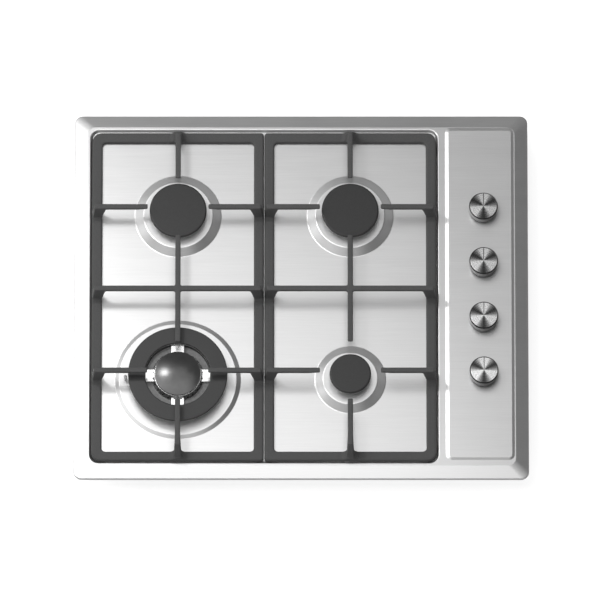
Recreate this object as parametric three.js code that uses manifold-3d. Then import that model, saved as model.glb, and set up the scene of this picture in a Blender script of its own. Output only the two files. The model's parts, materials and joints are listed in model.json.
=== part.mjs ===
// A built-in gas cooktop: a pressed steel top plate with a sunk cooking well and a raised control
// panel, two cast pan supports, four burners, and the gas and ignition parts in the tray below it.
// Millimetres. +X is right, +Y is rear, +Z is up. The origin is under the middle of the tray.
import * as THREE from "three";
import { mergeVertices } from "three/addons/utils/BufferGeometryUtils.js";
import Module from "manifold-3d";

const wasm = await Module();
wasm.setup();

// Fits
const seatGap = 0.3; // left between pieces that rest on each other
const slideGap = 0.3; // left round a piece that turns or slides
const holeGap = 1; // left round a piece that passes through sheet steel
const over = 1; // how far a cut runs past the face that it opens

// Top plate
const plateWidth = 600;
const plateDepth = 510;
const plateCorner = 10.5;
const sheet = 1;
const rimWidth = 17.2; // the sloping band along the plate's edge
const rimRise = 3.7;
const lipHeight = 4; // the edge turned down to the worktop
const landWidth = 3.3; // the flat strip between rim and well
const wellDepth = 2.7;
const wellWall = 2;
const wellCorner = 12.5;

// Control panel, raised from the same sheet
const panelWidth = 91.5;
const panelRise = 1.5;
const panelBevel = 4.5;
const panelCorner = 3.5;
const panelEdge = 0.8; // land left outside the panel
const panelFront = 7.8; // the same at its front end
const panelBridge = 9.2; // land between well and panel

// Seal and tray
const sealHeight = 3.7;
const sealWidth = 10;
const sealInset = 1;
const trayDepth = 46; // from the worktop down to the tray's underside
const trayInsetX = 26;
const trayInsetY = 24;
const trayCorner = 8;
const traySheet = 1;
const ventLength = 60; // slots in the tray's floor
const ventWidth = 8;
const ventCorner = 3.5;
const ventPitch = 16;

// Pan supports
const supportGap = 1.5; // between the two supports
const supportClearX = 1.65;
const supportClearY = 3;
const supportShift = -2.25; // supports and burners sit this far off the middle
const railTopWidth = 11;
const railDraft = 1;
const railRise = 7.5; // top of the rails above the well floor
const railLift = 1.5; // underside of the rails above the well floor
const supportCornerOuter = 11;
const supportCornerInner = 3.5;
const windowCorner = 4.5;
const fingerRise = 40; // top of the fingers above the well floor
const fingerWidth = 7;
const fingerHeight = 5.5;
const tipHeight = 3;
const tipTaper = 14;
const fingerReach = 40; // from a burner's axis to the finger tips
const fingerWeb = 6.5; // half diagonal of the web where two bars cross
const legTopLength = 15;
const legInsetSide = 3.7;
const legInsetEnd = 10.5;
const legRootWidth = 10;
const legLedge = 5; // the fillet at a leg's root
const footRadius = 4;
const footInset = 20;

// Burners
const bossMargin = 5; // flat left on a boss outside the cup's flange
const neckInset = 4.3; // the neck stands back under the crown
const neckWall = 3;
const cupInset = 4; // the cup stands back under the neck
const flangeThickness = 3;
const crownWall = 2.8;
const crownFloor = 2.5;
const portDepth = 3;
const skirtDepth = 3;
const skirtWall = 2;
const tubeRadius = 8;
const tubeWall = 2;
const capRib = 2;
const capRibDepth = 2.2;
const capChamfer = 1;
const inletRadius = 6;
const inletReach = 5;
const jetRadius = 4;
const jetHexRadius = 5.5;
const jetHexHeight = 4.7;
const jetTipRadius = 2.5;
const jetTipHeight = 2;
const jetBore = 1;
const jetThread = 4.5;
const jetToTube = 3; // air gap between jet and burner tube
const electrodeRadius = 2.2;
const electrodeCollar = 3.4;
const electrodeTip = 0.8;
const electrodeTail = 18;
const smallBurner = {
  capRadius: 27.4,
  capRise: 26,
  capSide: 4.3,
  crownRadius: 24.5,
  crownSide: 7.4,
  bossRise: 6.5,
  bossSlope: 10.5,
  electrodeOffset: 3.2,
  electrodeDegrees: 90,
  ports: 6,
  portWidth: 1.6,
};
const mediumBurner = {
  capRadius: 37.7,
  capRise: 25.6,
  capSide: 4.3,
  crownRadius: 34.3,
  crownSide: 8.6,
  bossRise: 6.5,
  bossSlope: 11,
  electrodeOffset: 3.2,
  electrodeDegrees: 90,
  ports: 8,
  portWidth: 1.6,
};
const largeBurner = {
  capRadius: 65.5,
  capRise: 23.5,
  capSide: 3,
  crownRadius: 62,
  crownSide: 10,
  bossRise: 2.3,
  bossSlope: 5.6,
  electrodeOffset: 7,
  electrodeDegrees: 180,
  ports: 12,
  portWidth: 2,
};
const ringInnerRadius = 43; // hole in the large burner's ring cap
const innerCrownRadius = 34;
const innerCrownLean = 3;
const innerCapRadius = 30.5;
const innerCapSide = 2.2;
const innerCapLift = 2; // its rim above the ring cap
const innerCapDome = 4;
const bridgeWidth = 17.5;
const bridgeDrop = 2.5; // bridges below the crown's top

// Knobs
const knobPitch = 76.8;
const knobShift = 3.9; // middle of the row of knobs, to the rear
const knobInset = 41; // knob axis from the panel's right edge
const knobRadius = 19;
const knobBaseRadius = 17.9;
const knobHeight = 19.5; // top of the knob above the panel
const knobStand = 4.6; // underside of the knob above the panel
const knobWall = 1.6;
const knobRoof = 3;
const knobChamfer = 0.8;
const hubRadius = 7.5;
const hubRecess = 0.7;
const pointerWidth = 1.2;
const pointerDepth = 0.6;
const collarHeight = 5.5;
const collarNeck = 1;
const spindleRadius = 4;
const spindleFlat = 1; // cut off the round to make it a D
const pushTravel = 4;

// Gas rail, taps and pipes
const railSize = 14;
const railHeight = 13;
const railBore = 5;
const railEndFront = 24;
const railEndRear = 81;
const tapRadius = 10;
const tapHeight = 24.7;
const tapFloor = 4.2;
const tapRoof = 3.3;
const coneTop = 6.5;
const coneBottom = 4.9;
const outletRise = 8.7;
const outletRadius = 5;
const outletReach = 10;
const gasWay = 2.5;
const plugWay = 1.8;
const plugDrive = 4.2; // length of spindle held in the plug
const pipeRadius = 4;
const pipeBend = 20;
const pipeStep = 18;
const pipeEndLength = 46; // from a left burner's inlet to the turn of its pipe
const nutRadius = 10.4;
const nutLength = 12;
const inletThread = 10;
const inletBore = 5;
const inletOverhang = 19; // from the tray's wall to the inlet's face

// Ignition and supply
const sparkBox = { x: 58, y: 34, z: 22 };
const sparkFromKnobs = 80;
const sparkFromWall = 34;
const terminalRadius = 3;
const terminalHeight = 6;
const terminalPitch = 13;
const glandFromKnobs = 70;
const glandRise = 24;
const glandRadius = 12;
const glandThread = 8.7;
const glandBore = 5;
const glandLength = 12;
const glandTail = 9;

// Worktop clamps
const clampInset = 81; // from the tray's front and rear to the middle of the clamps
const clampWidth = 20;
const clampThickness = 1.5;
const clampHeight = 30;
const clampReach = 18;
const worktopMost = 38; // the thickest worktop that the clamps take
const screwRadius = 4;
const screwHead = 2.5;

const pipeBoreSides = 4;
const coarse = 8; // sides of small round parts
const medium = 16;
const fine = 24;
const cornerSteps = 3;

// Levels
const worktopZ = trayDepth;
const lipZ = worktopZ + sealHeight + seatGap;
const rimEdgeZ = lipZ + lipHeight;
const landZ = rimEdgeZ + rimRise;
const floorZ = landZ - wellDepth;
const panelZ = landZ + panelRise;
const railTopZ = railHeight + railSize / 2;
const tapZ = railTopZ + seatGap;
const pipeZ = tapZ + outletRise;

// Plan places that follow from the sizes above
const landX = plateWidth / 2 - rimWidth;
const landY = plateDepth / 2 - rimWidth;
const panelRight = landX - panelEdge;
const panelLeft = panelRight - panelWidth;
const wellLeft = -landX + landWidth;
const wellRight = panelLeft - panelBridge;
const wellY = landY - landWidth;
const supportSpace = wellRight - wellLeft - 2 * wellWall - 2 * supportClearX;
const supportWidth = (supportSpace - supportGap) / 2;
const supportDepth = 2 * (wellY - wellWall - supportClearY);
const leftX = wellLeft + wellWall + supportClearX + supportWidth / 2;
const rightX = leftX + supportWidth + supportGap;
const rowSpacing = supportDepth / 2; // between the front and rear burner axes
const rearY = supportShift + rowSpacing / 2;
const frontY = supportShift - rowSpacing / 2;
const knobX = panelRight - knobInset;
const rowOfThree = [-1, 0, 1]; // places in a row, counted in pitches
const rowOfFour = [-1.5, -0.5, 0.5, 1.5];
const knobYs = rowOfFour.map((n) => knobShift + n * knobPitch);
const trayX = plateWidth / 2 - trayInsetX;
const trayY = plateDepth / 2 - trayInsetY;

const burners = [
  { name: "rear_left", x: leftX, y: rearY, knob: 2, size: mediumBurner },
  { name: "rear_right", x: rightX, y: rearY, knob: 3, size: mediumBurner },
  { name: "front_left", x: leftX, y: frontY, knob: 1, size: largeBurner },
  { name: "front_right", x: rightX, y: frontY, knob: 0, size: smallBurner },
];

const finishes = {
  brushedSteel: { color: 0xcfd0d1, roughness: 0.34, metalness: 1 },
  zincSteel: { color: 0xa3a7aa, roughness: 0.5, metalness: 1 },
  castIron: { color: 0x4a4a4a, roughness: 0.75, metalness: 0.1 },
  enamel: { color: 0x3d3d3e, roughness: 0.6, metalness: 0.1 },
  glossEnamel: { color: 0x2c2c2d, roughness: 0.2, metalness: 0.1 },
  castAluminium: { color: 0xb9bbbd, roughness: 0.45, metalness: 1 },
  aluminium: { color: 0xd6d7d8, roughness: 0.3, metalness: 1 },
  turnedSteel: { color: 0xb4b5b7, roughness: 0.28, metalness: 1 },
  brass: { color: 0xb08d45, roughness: 0.35, metalness: 1 },
  blackPlastic: { color: 0x1b1b1c, roughness: 0.45, metalness: 0 },
  rubber: { color: 0x6a6b6c, roughness: 0.9, metalness: 0 },
  ceramic: { color: 0xe9e6df, roughness: 0.4, metalness: 0 },
};

// ---- Solids ----

function solidOf(geometry) {
  const bare = geometry.clone();
  bare.deleteAttribute("normal");
  bare.deleteAttribute("uv");
  const merged = mergeVertices(bare, 1e-4);
  const vertProperties = Float32Array.from(merged.attributes.position.array);
  const triVerts = Uint32Array.from(merged.index.array);
  return new wasm.Manifold(new wasm.Mesh({ numProp: 3, vertProperties, triVerts }));
}

function geometryOf(solid) {
  const mesh = solid.getMesh();
  const indexed = new THREE.BufferGeometry();
  indexed.setAttribute("position", new THREE.BufferAttribute(mesh.vertProperties, 3));
  indexed.setIndex(new THREE.BufferAttribute(mesh.triVerts, 1));
  const geometry = indexed.toNonIndexed();
  geometry.computeVertexNormals();
  return geometry;
}

function joined(solids) {
  return solids.reduce((whole, solid) => whole.add(solid));
}

function without(solid, cuts) {
  return cuts.reduce((rest, cut) => rest.subtract(cut), solid);
}

// A box between two corners.
function block(x0, x1, y0, y1, z0, z1) {
  const box = new THREE.BoxGeometry(x1 - x0, y1 - y0, z1 - z0);
  box.translate((x0 + x1) / 2, (y0 + y1) / 2, (z0 + z1) / 2);
  return solidOf(box);
}

// A solid turned about Z from [radius, height] points that run up its outside.
function turned(profile, sides) {
  const points = profile.map(([radius, height]) => new THREE.Vector2(radius, height));
  return solidOf(new THREE.LatheGeometry(points, sides).rotateX(Math.PI / 2));
}

function closedTurned(profile, sides) {
  return turned([...profile, profile[0]], sides);
}

function cylinder(radius, z0, z1, sides) {
  return turned([[0, z0], [radius, z0], [radius, z1], [0, z1]], sides);
}

// A cylinder lying along a plan direction, from start to end along it.
function lyingCylinder(radius, start, end, degrees, z, sides) {
  const rod = new THREE.CylinderGeometry(radius, radius, end - start, sides);
  rod.rotateZ(-Math.PI / 2);
  rod.translate((start + end) / 2, 0, 0);
  rod.rotateZ(THREE.MathUtils.degToRad(degrees));
  rod.translate(0, 0, z);
  return solidOf(rod);
}

// A convex solid through outlines with as many points each, the first at its start.
function loft(outlines) {
  const count = outlines[0].length;
  const index = [];
  for (let i = 1; i < count - 1; i += 1) index.push(0, i + 1, i);
  for (let n = 0; n < outlines.length - 1; n += 1) {
    for (let i = 0; i < count; i += 1) {
      const a = n * count + i;
      const b = n * count + ((i + 1) % count);
      index.push(a, b, b + count, a, b + count, a + count);
    }
  }
  const last = (outlines.length - 1) * count;
  for (let i = 1; i < count - 1; i += 1) index.push(last, last + i, last + i + 1);
  const geometry = new THREE.BufferGeometry().setFromPoints(outlines.flat());
  geometry.setIndex(index);
  return solidOf(geometry);
}

// A rounded rectangle at height z, grown outwards by grow. corners: the radii at front right,
// rear right, rear left and front left.
function rounded({ x0, x1, y0, y1, corners }, z, grow = 0) {
  const centres = [
    [x1, y0, -1, 1],
    [x1, y1, -1, -1],
    [x0, y1, 1, -1],
    [x0, y0, 1, 1],
  ];
  return centres.flatMap(([x, y, inX, inY], n) => {
    const radius = corners[n] + grow;
    return Array.from({ length: cornerSteps + 1 }, (_, step) => {
      const angle = ((n - 1 + step / cornerSteps) * Math.PI) / 2;
      return new THREE.Vector3(
        x + inX * corners[n] + radius * Math.cos(angle),
        y + inY * corners[n] + radius * Math.sin(angle),
        z,
      );
    });
  });
}

function rectangle(halfX, halfY, corner) {
  return { x0: -halfX, x1: halfX, y0: -halfY, y1: halfY, corners: Array(4).fill(corner) };
}

// ---- Top plate ----

// How far a sloped wall's inside stands back, so that the sheet keeps its thickness.
function standBack(skin, run, rise) {
  return (skin * (Math.hypot(run, rise) - run)) / rise;
}

function bossTopRadius(size) {
  return flangeRadius(size) + bossMargin;
}

// The plate's outer form as a block down to baseZ, or its inside form with skin taken off.
function plateBlock(skin, baseZ) {
  const rim = rectangle(plateWidth / 2, plateDepth / 2, plateCorner);
  const rimLean = standBack(skin, rimWidth, rimRise);
  const body = loft([
    rounded(rim, baseZ, -skin),
    rounded(rim, rimEdgeZ - skin, -skin),
    rounded(rectangle(landX, landY, plateCorner), landZ - skin, -rimLean),
  ]);
  const wellLean = standBack(skin, wellWall, wellDepth);
  const well = {
    x0: wellLeft,
    x1: wellRight,
    y0: -wellY,
    y1: wellY,
    corners: Array(4).fill(wellCorner),
  };
  const sunk = loft([
    rounded(well, floorZ - skin, wellLean - wellWall),
    rounded(well, landZ - skin + wellDepth, wellLean + wellWall),
  ]);
  const panelLean = standBack(skin, panelBevel, panelRise);
  const panel = {
    x0: panelLeft,
    x1: panelRight,
    y0: panelFront - landY,
    y1: landY - panelEdge,
    corners: Array(4).fill(panelCorner + panelBevel),
  };
  const raised = loft([
    rounded(panel, baseZ, -panelLean),
    rounded(panel, landZ - skin, -panelLean),
    rounded(panel, panelZ - skin, -panelLean - panelBevel),
  ]);
  const bosses = burners.map(({ x, y, size }) => {
    const lean = standBack(skin, size.bossSlope, size.bossRise);
    const top = bossTopRadius(size) - lean;
    const profile = [
      [0, baseZ],
      [top + size.bossSlope, baseZ],
      [top + size.bossSlope, floorZ - skin],
      [top, floorZ + size.bossRise - skin],
      [0, floorZ + size.bossRise - skin],
    ];
    return turned(profile, fine).translate([x, y, 0]);
  });
  return joined([body.subtract(sunk), raised, ...bosses]);
}

function topPlate() {
  const holes = burners.flatMap(({ x, y, size }) => [
    cylinder(neckRadius(size) + holeGap, lipZ, floorZ + size.bossRise + over, fine).translate([x, y, 0]),
    cylinder(electrodeRadius + holeGap, lipZ, floorZ + size.bossRise + over, coarse)
      .translate(electrodePlace(size))
      .translate([x, y, 0]),
  ]);
  const knobHoles = knobYs.map((y) =>
    cylinder(collarNeckRadius() + slideGap, lipZ, panelZ + over, medium).translate([knobX, y, 0]),
  );
  const shell = plateBlock(0, lipZ).subtract(plateBlock(sheet, lipZ - over));
  return without(shell, [...holes, ...knobHoles]);
}

function rimSeal() {
  const edge = rectangle(plateWidth / 2, plateDepth / 2, plateCorner);
  const outside = loft([
    rounded(edge, worktopZ, -sealInset),
    rounded(edge, worktopZ + sealHeight, -sealInset),
  ]);
  const inner = rectangle(
    plateWidth / 2 - sealInset - sealWidth,
    plateDepth / 2 - sealInset - sealWidth,
    plateCorner,
  );
  const inside = loft([
    rounded(inner, worktopZ - over),
    rounded(inner, worktopZ + sealHeight + over),
  ]);
  return outside.subtract(inside);
}

// Slots through the tray's floor, in a bank between the two burners of each side.
function ventSlots() {
  return [leftX, rightX].flatMap((x) =>
    rowOfThree.map((n) => {
      const y = supportShift + n * ventPitch;
      const slot = {
        x0: x - ventLength / 2,
        x1: x + ventLength / 2,
        y0: y - ventWidth / 2,
        y1: y + ventWidth / 2,
        corners: Array(4).fill(ventCorner),
      };
      return loft([rounded(slot, -over), rounded(slot, traySheet + over)]);
    }),
  );
}

function bottomTray() {
  const outer = rectangle(trayX, trayY, trayCorner);
  const shell = loft([rounded(outer, 0), rounded(outer, panelZ)]).subtract(
    loft([rounded(outer, traySheet, -traySheet), rounded(outer, panelZ + over, -traySheet)]),
  );
  const underPlate = plateBlock(sheet + seatGap, -over);
  const wallCut = [trayY - traySheet - over, trayY + over];
  const inletHole = lyingCylinder(inletThread + slideGap, ...wallCut, 90, railHeight, medium);
  const glandHole = lyingCylinder(glandThread + slideGap, ...wallCut, 90, glandRise, medium);
  return without(shell.intersect(underPlate), [
    inletHole.translate([knobX, 0, 0]),
    glandHole.translate([knobX - glandFromKnobs, 0, 0]),
    ...ventSlots(),
  ]);
}

// ---- Pan supports, drawn about the middle of their own window ----

// An upright section across a bar that runs along a plan direction.
function section(along, direction, width, z0, z1) {
  const side = new THREE.Vector3(-direction.y, direction.x, 0);
  const corners = [
    [-width / 2, z0],
    [width / 2, z0],
    [width / 2, z1],
    [-width / 2, z1],
  ];
  return corners.map(([across, z]) => along.clone().addScaledVector(side, across).setZ(z));
}

// A finger bar between two plan points, thinned from below at each end that is a free tip.
function bar(start, end, startIsTip, endIsTip) {
  const direction = end.clone().sub(start).normalize();
  const at = (place, height) =>
    section(place, direction, fingerWidth, fingerRise - height, fingerRise);
  const sections = [at(start, startIsTip ? tipHeight : fingerHeight)];
  if (startIsTip) sections.push(at(start.clone().addScaledVector(direction, tipTaper), fingerHeight));
  if (endIsTip) sections.push(at(end.clone().addScaledVector(direction, -tipTaper), fingerHeight));
  sections.push(at(end, endIsTip ? tipHeight : fingerHeight));
  return loft(sections);
}

// A level rectangle that reaches from near to far along a plan direction.
function footprint(origin, direction, near, far, width, z) {
  const side = new THREE.Vector3(-direction.y, direction.x, 0);
  const corners = [
    [near, -width / 2],
    [far, -width / 2],
    [far, width / 2],
    [near, width / 2],
  ];
  return corners.map(([out, across]) =>
    origin.clone().addScaledVector(direction, out).addScaledVector(side, across).setZ(z),
  );
}

// A leg under the outer end of a bar, with a ledge where it meets the rail.
// edge is the distance from origin to the outside of the rail, inset that of the leg's top to it.
function leg(origin, direction, edge, inset) {
  const rootOut = edge - railDraft;
  const rootIn = rootOut - railTopWidth;
  const at = (near, far, width, z) => footprint(origin, direction, near, far, width, z);
  const post = loft([
    at(rootIn, rootOut, legRootWidth, railLift + railDraft),
    at(rootIn, rootOut, legRootWidth, railRise),
    at(edge - inset - legTopLength, edge - inset, fingerWidth, fingerRise),
  ]);
  const ledge = loft([
    at(rootIn, rootOut, legRootWidth + 2 * legLedge, railLift + railDraft),
    at(rootIn, rootOut, legRootWidth + 2 * legLedge, railRise),
    at(rootIn, rootOut, legRootWidth - railDraft, railRise + legLedge),
  ]);
  return post.add(ledge);
}

function supportFrame(corners) {
  const outer = {
    x0: -supportWidth / 2,
    x1: supportWidth / 2,
    y0: -supportDepth / 2,
    y1: supportDepth / 2,
    corners,
  };
  const thick = railTopWidth + 2 * railDraft;
  const window = {
    x0: outer.x0 + thick,
    x1: outer.x1 - thick,
    y0: outer.y0 + thick,
    y1: outer.y1 - thick,
    corners: Array(4).fill(windowCorner),
  };
  // The window's wall is drawn on past both faces at its own slope.
  const height = railRise - railLift;
  return loft([rounded(outer, railLift), rounded(outer, railRise, -railDraft)]).subtract(
    loft([
      rounded(window, railLift - height, -railDraft),
      rounded(window, railRise + height, 2 * railDraft),
    ]),
  );
}

function panSupport(corners) {
  const point = (x, y) => new THREE.Vector3(x, y, 0);
  const halfX = supportWidth / 2;
  const halfY = supportDepth / 2;
  const row = rowSpacing / 2;
  const endY = halfY - legInsetEnd;
  const endX = halfX - legInsetSide;
  const parts = [supportFrame(corners), bar(point(-endX, 0), point(endX, 0), false, false)];
  parts.push(bar(point(0, row - fingerReach), point(0, fingerReach - row), true, true));
  for (const side of [-1, 1]) {
    const outwardX = point(side, 0);
    const outwardY = point(0, side);
    parts.push(bar(point(0, side * endY), point(0, side * (row + fingerReach)), false, true));
    parts.push(leg(point(0, 0), outwardY, halfY, legInsetEnd));
    parts.push(leg(point(0, 0), outwardX, halfX, legInsetSide));
    for (const y of [-row, row]) {
      parts.push(bar(point(side * endX, y), point(side * fingerReach, y), false, true));
      parts.push(leg(point(0, y), outwardX, halfX, legInsetSide));
    }
    for (const end of [-1, 1]) {
      const foot = cylinder(footRadius, seatGap, railLift + railDraft, coarse);
      const footX = side * (halfX - railDraft - railTopWidth / 2);
      parts.push(foot.translate([footX, end * (halfY - footInset), 0]));
    }
  }
  const web = [point(fingerWeb, 0), point(0, fingerWeb), point(-fingerWeb, 0), point(0, -fingerWeb)];
  const level = (z) => web.map((corner) => corner.clone().setZ(z));
  parts.push(loft([level(fingerRise - fingerHeight), level(fingerRise)]));
  return joined(parts);
}

// ---- Burners, drawn about their axis with z = 0 at the well floor ----

function neckRadius(size) {
  return size.crownRadius - neckInset;
}

function cupRadius(size) {
  return neckRadius(size) - cupInset;
}

function flangeRadius(size) {
  return size.crownRadius + size.electrodeOffset + electrodeCollar;
}

function electrodePlace(size) {
  const angle = THREE.MathUtils.degToRad(size.electrodeDegrees);
  const reach = size.crownRadius + size.electrodeOffset;
  return [reach * Math.cos(angle), reach * Math.sin(angle), 0];
}

function crownTop(size) {
  return size.capRise - size.capSide - seatGap;
}

function crownBase(size) {
  return size.capRise - size.capSide - size.crownSide;
}

function neckTop(size) {
  return crownBase(size) - seatGap;
}

function flangeTop(size) {
  return size.bossRise - sheet - seatGap;
}

// The solid foot of every cup is centred on the level of the pipes.
const cupBaseTop = pipeZ + inletRadius + traySheet - floorZ;
const cupBaseBottom = pipeZ - inletRadius - traySheet - floorZ;
const jetSeat = cupBaseTop - jetThread - seatGap;

function burnerCup(size) {
  const neck = neckRadius(size);
  const cup = cupRadius(size);
  const top = flangeTop(size);
  const under = top - flangeThickness;
  const level = pipeZ - floorZ;
  const body = turned(
    [
      [0, cupBaseBottom],
      [cup, cupBaseBottom],
      [cup, under],
      [flangeRadius(size), under],
      [flangeRadius(size), top],
      [neck, top],
      [neck, neckTop(size)],
      [neck - neckWall, neckTop(size)],
      [neck - neckWall, under],
      [cup - neckWall, under - neckWall],
      [cup - neckWall, cupBaseTop],
      [0, cupBaseTop],
    ],
    fine,
  );
  const inlet = lyingCylinder(inletRadius, 0, cup + inletReach, 0, level, coarse);
  const place = electrodePlace(size);
  return without(body.add(inlet), [
    cylinder(jetRadius + slideGap, jetSeat, cupBaseTop + over, coarse),
    cylinder(gasWay, level, jetSeat + over, coarse),
    lyingCylinder(gasWay, 0, cup + inletReach + over, 0, level, coarse),
    cylinder(electrodeRadius + slideGap, under - neckWall - over, top + over, coarse).translate(place),
  ]);
}

const tubeBottom = cupBaseTop + seatGap + jetHexHeight + jetTipHeight + jetToTube;

function portCuts(size, top, inner, outer) {
  return Array.from({ length: size.ports }, (_, n) => {
    const slot = new THREE.BoxGeometry(outer - inner, size.portWidth, 2 * portDepth);
    slot.translate((outer + inner) / 2, 0, top);
    slot.rotateZ(((n + 0.5) * 2 * Math.PI) / size.ports);
    return solidOf(slot);
  });
}

// The crown of a single-ring burner, with its tube down over the jet.
function burnerCrown(size) {
  const base = crownBase(size);
  const top = crownTop(size);
  const skirt = neckRadius(size) - neckWall - slideGap;
  const body = closedTurned(
    [
      [tubeRadius - tubeWall, tubeBottom],
      [tubeRadius, tubeBottom],
      [tubeRadius, base],
      [skirt - skirtWall, base],
      [skirt - skirtWall, base - skirtDepth],
      [skirt, base - skirtDepth],
      [skirt, base],
      [size.crownRadius, base],
      [size.crownRadius, top],
      [size.crownRadius - crownWall, top],
      [size.crownRadius - crownWall, base + crownFloor],
      [tubeRadius - tubeWall, base + crownFloor],
    ],
    fine,
  );
  return without(
    body,
    portCuts(size, top, size.crownRadius - 2 * crownWall, size.crownRadius + crownWall),
  );
}

// The large burner's crown: an outer ring, an inner ring and four bridges between them.
function doubleCrown(size) {
  const base = crownBase(size);
  const top = crownTop(size);
  const floor = base + crownFloor;
  const skirt = neckRadius(size) - neckWall - slideGap;
  const innerTop = size.capRise + innerCapLift - innerCapSide - seatGap;
  const innerWall = innerCrownRadius - innerCrownLean - crownWall;
  const body = closedTurned(
    [
      [tubeRadius - tubeWall, tubeBottom],
      [tubeRadius, tubeBottom],
      [tubeRadius, base],
      [skirt - skirtWall, base],
      [skirt - skirtWall, base - skirtDepth],
      [skirt, base - skirtDepth],
      [skirt, base],
      [size.crownRadius, base],
      [size.crownRadius, top],
      [size.crownRadius - crownWall, top],
      [size.crownRadius - crownWall, floor],
      [ringInnerRadius + crownWall, floor],
      [ringInnerRadius + crownWall, top],
      [ringInnerRadius, top],
      [ringInnerRadius, floor],
      [innerCrownRadius, floor],
      [innerCrownRadius - innerCrownLean, innerTop],
      [innerWall, innerTop],
      [innerWall, floor],
      [tubeRadius - tubeWall, floor],
    ],
    fine,
  );
  const bridges = [0, 90, 180, 270].map((degrees) => {
    const length = ringInnerRadius - innerCrownRadius + crownWall + innerCrownLean;
    const bridge = new THREE.BoxGeometry(length, bridgeWidth, top - bridgeDrop - base);
    bridge.translate(innerCrownRadius - innerCrownLean + length / 2, 0, (top - bridgeDrop + base) / 2);
    bridge.rotateZ(THREE.MathUtils.degToRad(degrees));
    return solidOf(bridge);
  });
  const ports = portCuts(size, top, size.crownRadius - 2 * crownWall, size.crownRadius + crownWall);
  return without(joined([body, ...bridges]), ports);
}

function burnerCap(size) {
  const under = size.capRise - size.capSide;
  const rib = size.crownRadius - crownWall - slideGap;
  return turned(
    [
      [0, under + capRib / 2],
      [rib - capRib, under + capRib / 2],
      [rib - capRib, under - capRibDepth],
      [rib, under - capRibDepth],
      [rib, under],
      [size.capRadius, under],
      [size.capRadius, size.capRise - capChamfer],
      [size.capRadius - capChamfer, size.capRise],
      [0, size.capRise],
    ],
    fine,
  );
}

function ringCap(size) {
  const under = size.capRise - size.capSide;
  const rib = size.crownRadius - crownWall - slideGap;
  return closedTurned(
    [
      [ringInnerRadius, under],
      [rib - capRib, under],
      [rib - capRib, under - capRibDepth],
      [rib, under - capRibDepth],
      [rib, under],
      [size.capRadius, under],
      [size.capRadius, size.capRise - capChamfer],
      [size.capRadius - capChamfer, size.capRise],
      [ringInnerRadius + capChamfer, size.capRise],
      [ringInnerRadius, size.capRise - capChamfer],
    ],
    fine,
  );
}

function domedCap(size) {
  const rim = size.capRise + innerCapLift;
  const under = rim - innerCapSide;
  const rib = innerCrownRadius - innerCrownLean - crownWall - slideGap;
  const dome = [0.9, 0.7, 0.4, 0].map((share) => [
    innerCapRadius * share,
    rim + innerCapDome * (1 - share * share),
  ]);
  return turned(
    [
      [0, under],
      [rib - capRib, under],
      [rib - capRib, under - capRibDepth],
      [rib, under - capRibDepth],
      [rib, under],
      [innerCapRadius, under],
      [innerCapRadius, rim],
      ...dome,
    ],
    medium,
  );
}

function electrode(size) {
  const collarTop = flangeTop(size) - flangeThickness - seatGap;
  const top = size.capRise - size.capSide - capRibDepth;
  return turned(
    [
      [0, collarTop - electrodeTail],
      [electrodeTip, collarTop - electrodeTail],
      [electrodeTip, collarTop - electrodeTail / 2],
      [electrodeRadius, collarTop - electrodeTail / 2],
      [electrodeRadius, collarTop - electrodeCollar],
      [electrodeCollar, collarTop - electrodeCollar],
      [electrodeCollar, collarTop],
      [electrodeRadius, collarTop],
      [electrodeRadius, top - electrodeCollar],
      [electrodeTip, top - electrodeCollar],
      [electrodeTip, top],
      [0, top],
    ],
    coarse,
  );
}

function injector() {
  const hexBottom = cupBaseTop + seatGap;
  const hexTop = hexBottom + jetHexHeight;
  const bottom = jetSeat + seatGap;
  const stem = closedTurned(
    [
      [jetBore, bottom],
      [jetRadius, bottom],
      [jetRadius, hexTop - jetHexHeight / 2],
      [jetTipRadius, hexTop - jetHexHeight / 2],
      [jetTipRadius, hexTop + jetTipHeight],
      [jetBore, hexTop + jetTipHeight],
    ],
    coarse,
  );
  const hex = closedTurned(
    [
      [jetBore, hexBottom],
      [jetHexRadius, hexBottom],
      [jetHexRadius, hexTop],
      [jetBore, hexTop],
    ],
    6,
  );
  return stem.add(hex).subtract(cylinder(jetBore, bottom - over, hexTop + jetTipHeight + over, coarse));
}

// ---- Gas rail, taps and pipes ----

function gasRail() {
  const front = knobYs[0] - railEndFront;
  const rear = knobYs[3] + railEndRear;
  const half = railSize / 2;
  const bar = block(-half, half, front, rear, railHeight - half, railHeight + half);
  const feet = [front + railSize, rear - railSize].map((y) =>
    block(-half, half, y - half, y + half, traySheet + seatGap, railHeight - half + seatGap),
  );
  const bore = lyingCylinder(railBore, front + railBore, rear + over, 90, railHeight, coarse);
  const tapHoles = knobYs.map((y) =>
    cylinder(gasWay, railHeight, railTopZ + over, coarse).translate([0, y, 0]),
  );
  return without(joined([bar, ...feet]), [bore, ...tapHoles]);
}

// The inlet's length runs from the rail's rear end out through the tray's wall.
function gasInlet() {
  const start = knobYs[3] + railEndRear + seatGap;
  const end = trayY + inletOverhang;
  const nut = lyingCylinder(nutRadius, start, start + nutLength, 90, railHeight, 6);
  const thread = lyingCylinder(inletThread, start, end, 90, railHeight, medium);
  const bore = lyingCylinder(inletBore, start - over, end + over, 90, railHeight, coarse);
  return nut.add(thread).subtract(bore);
}

// Taps are drawn about their axis with z = 0 at the rail's top.
const coneRoof = tapHeight - tapRoof;

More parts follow.
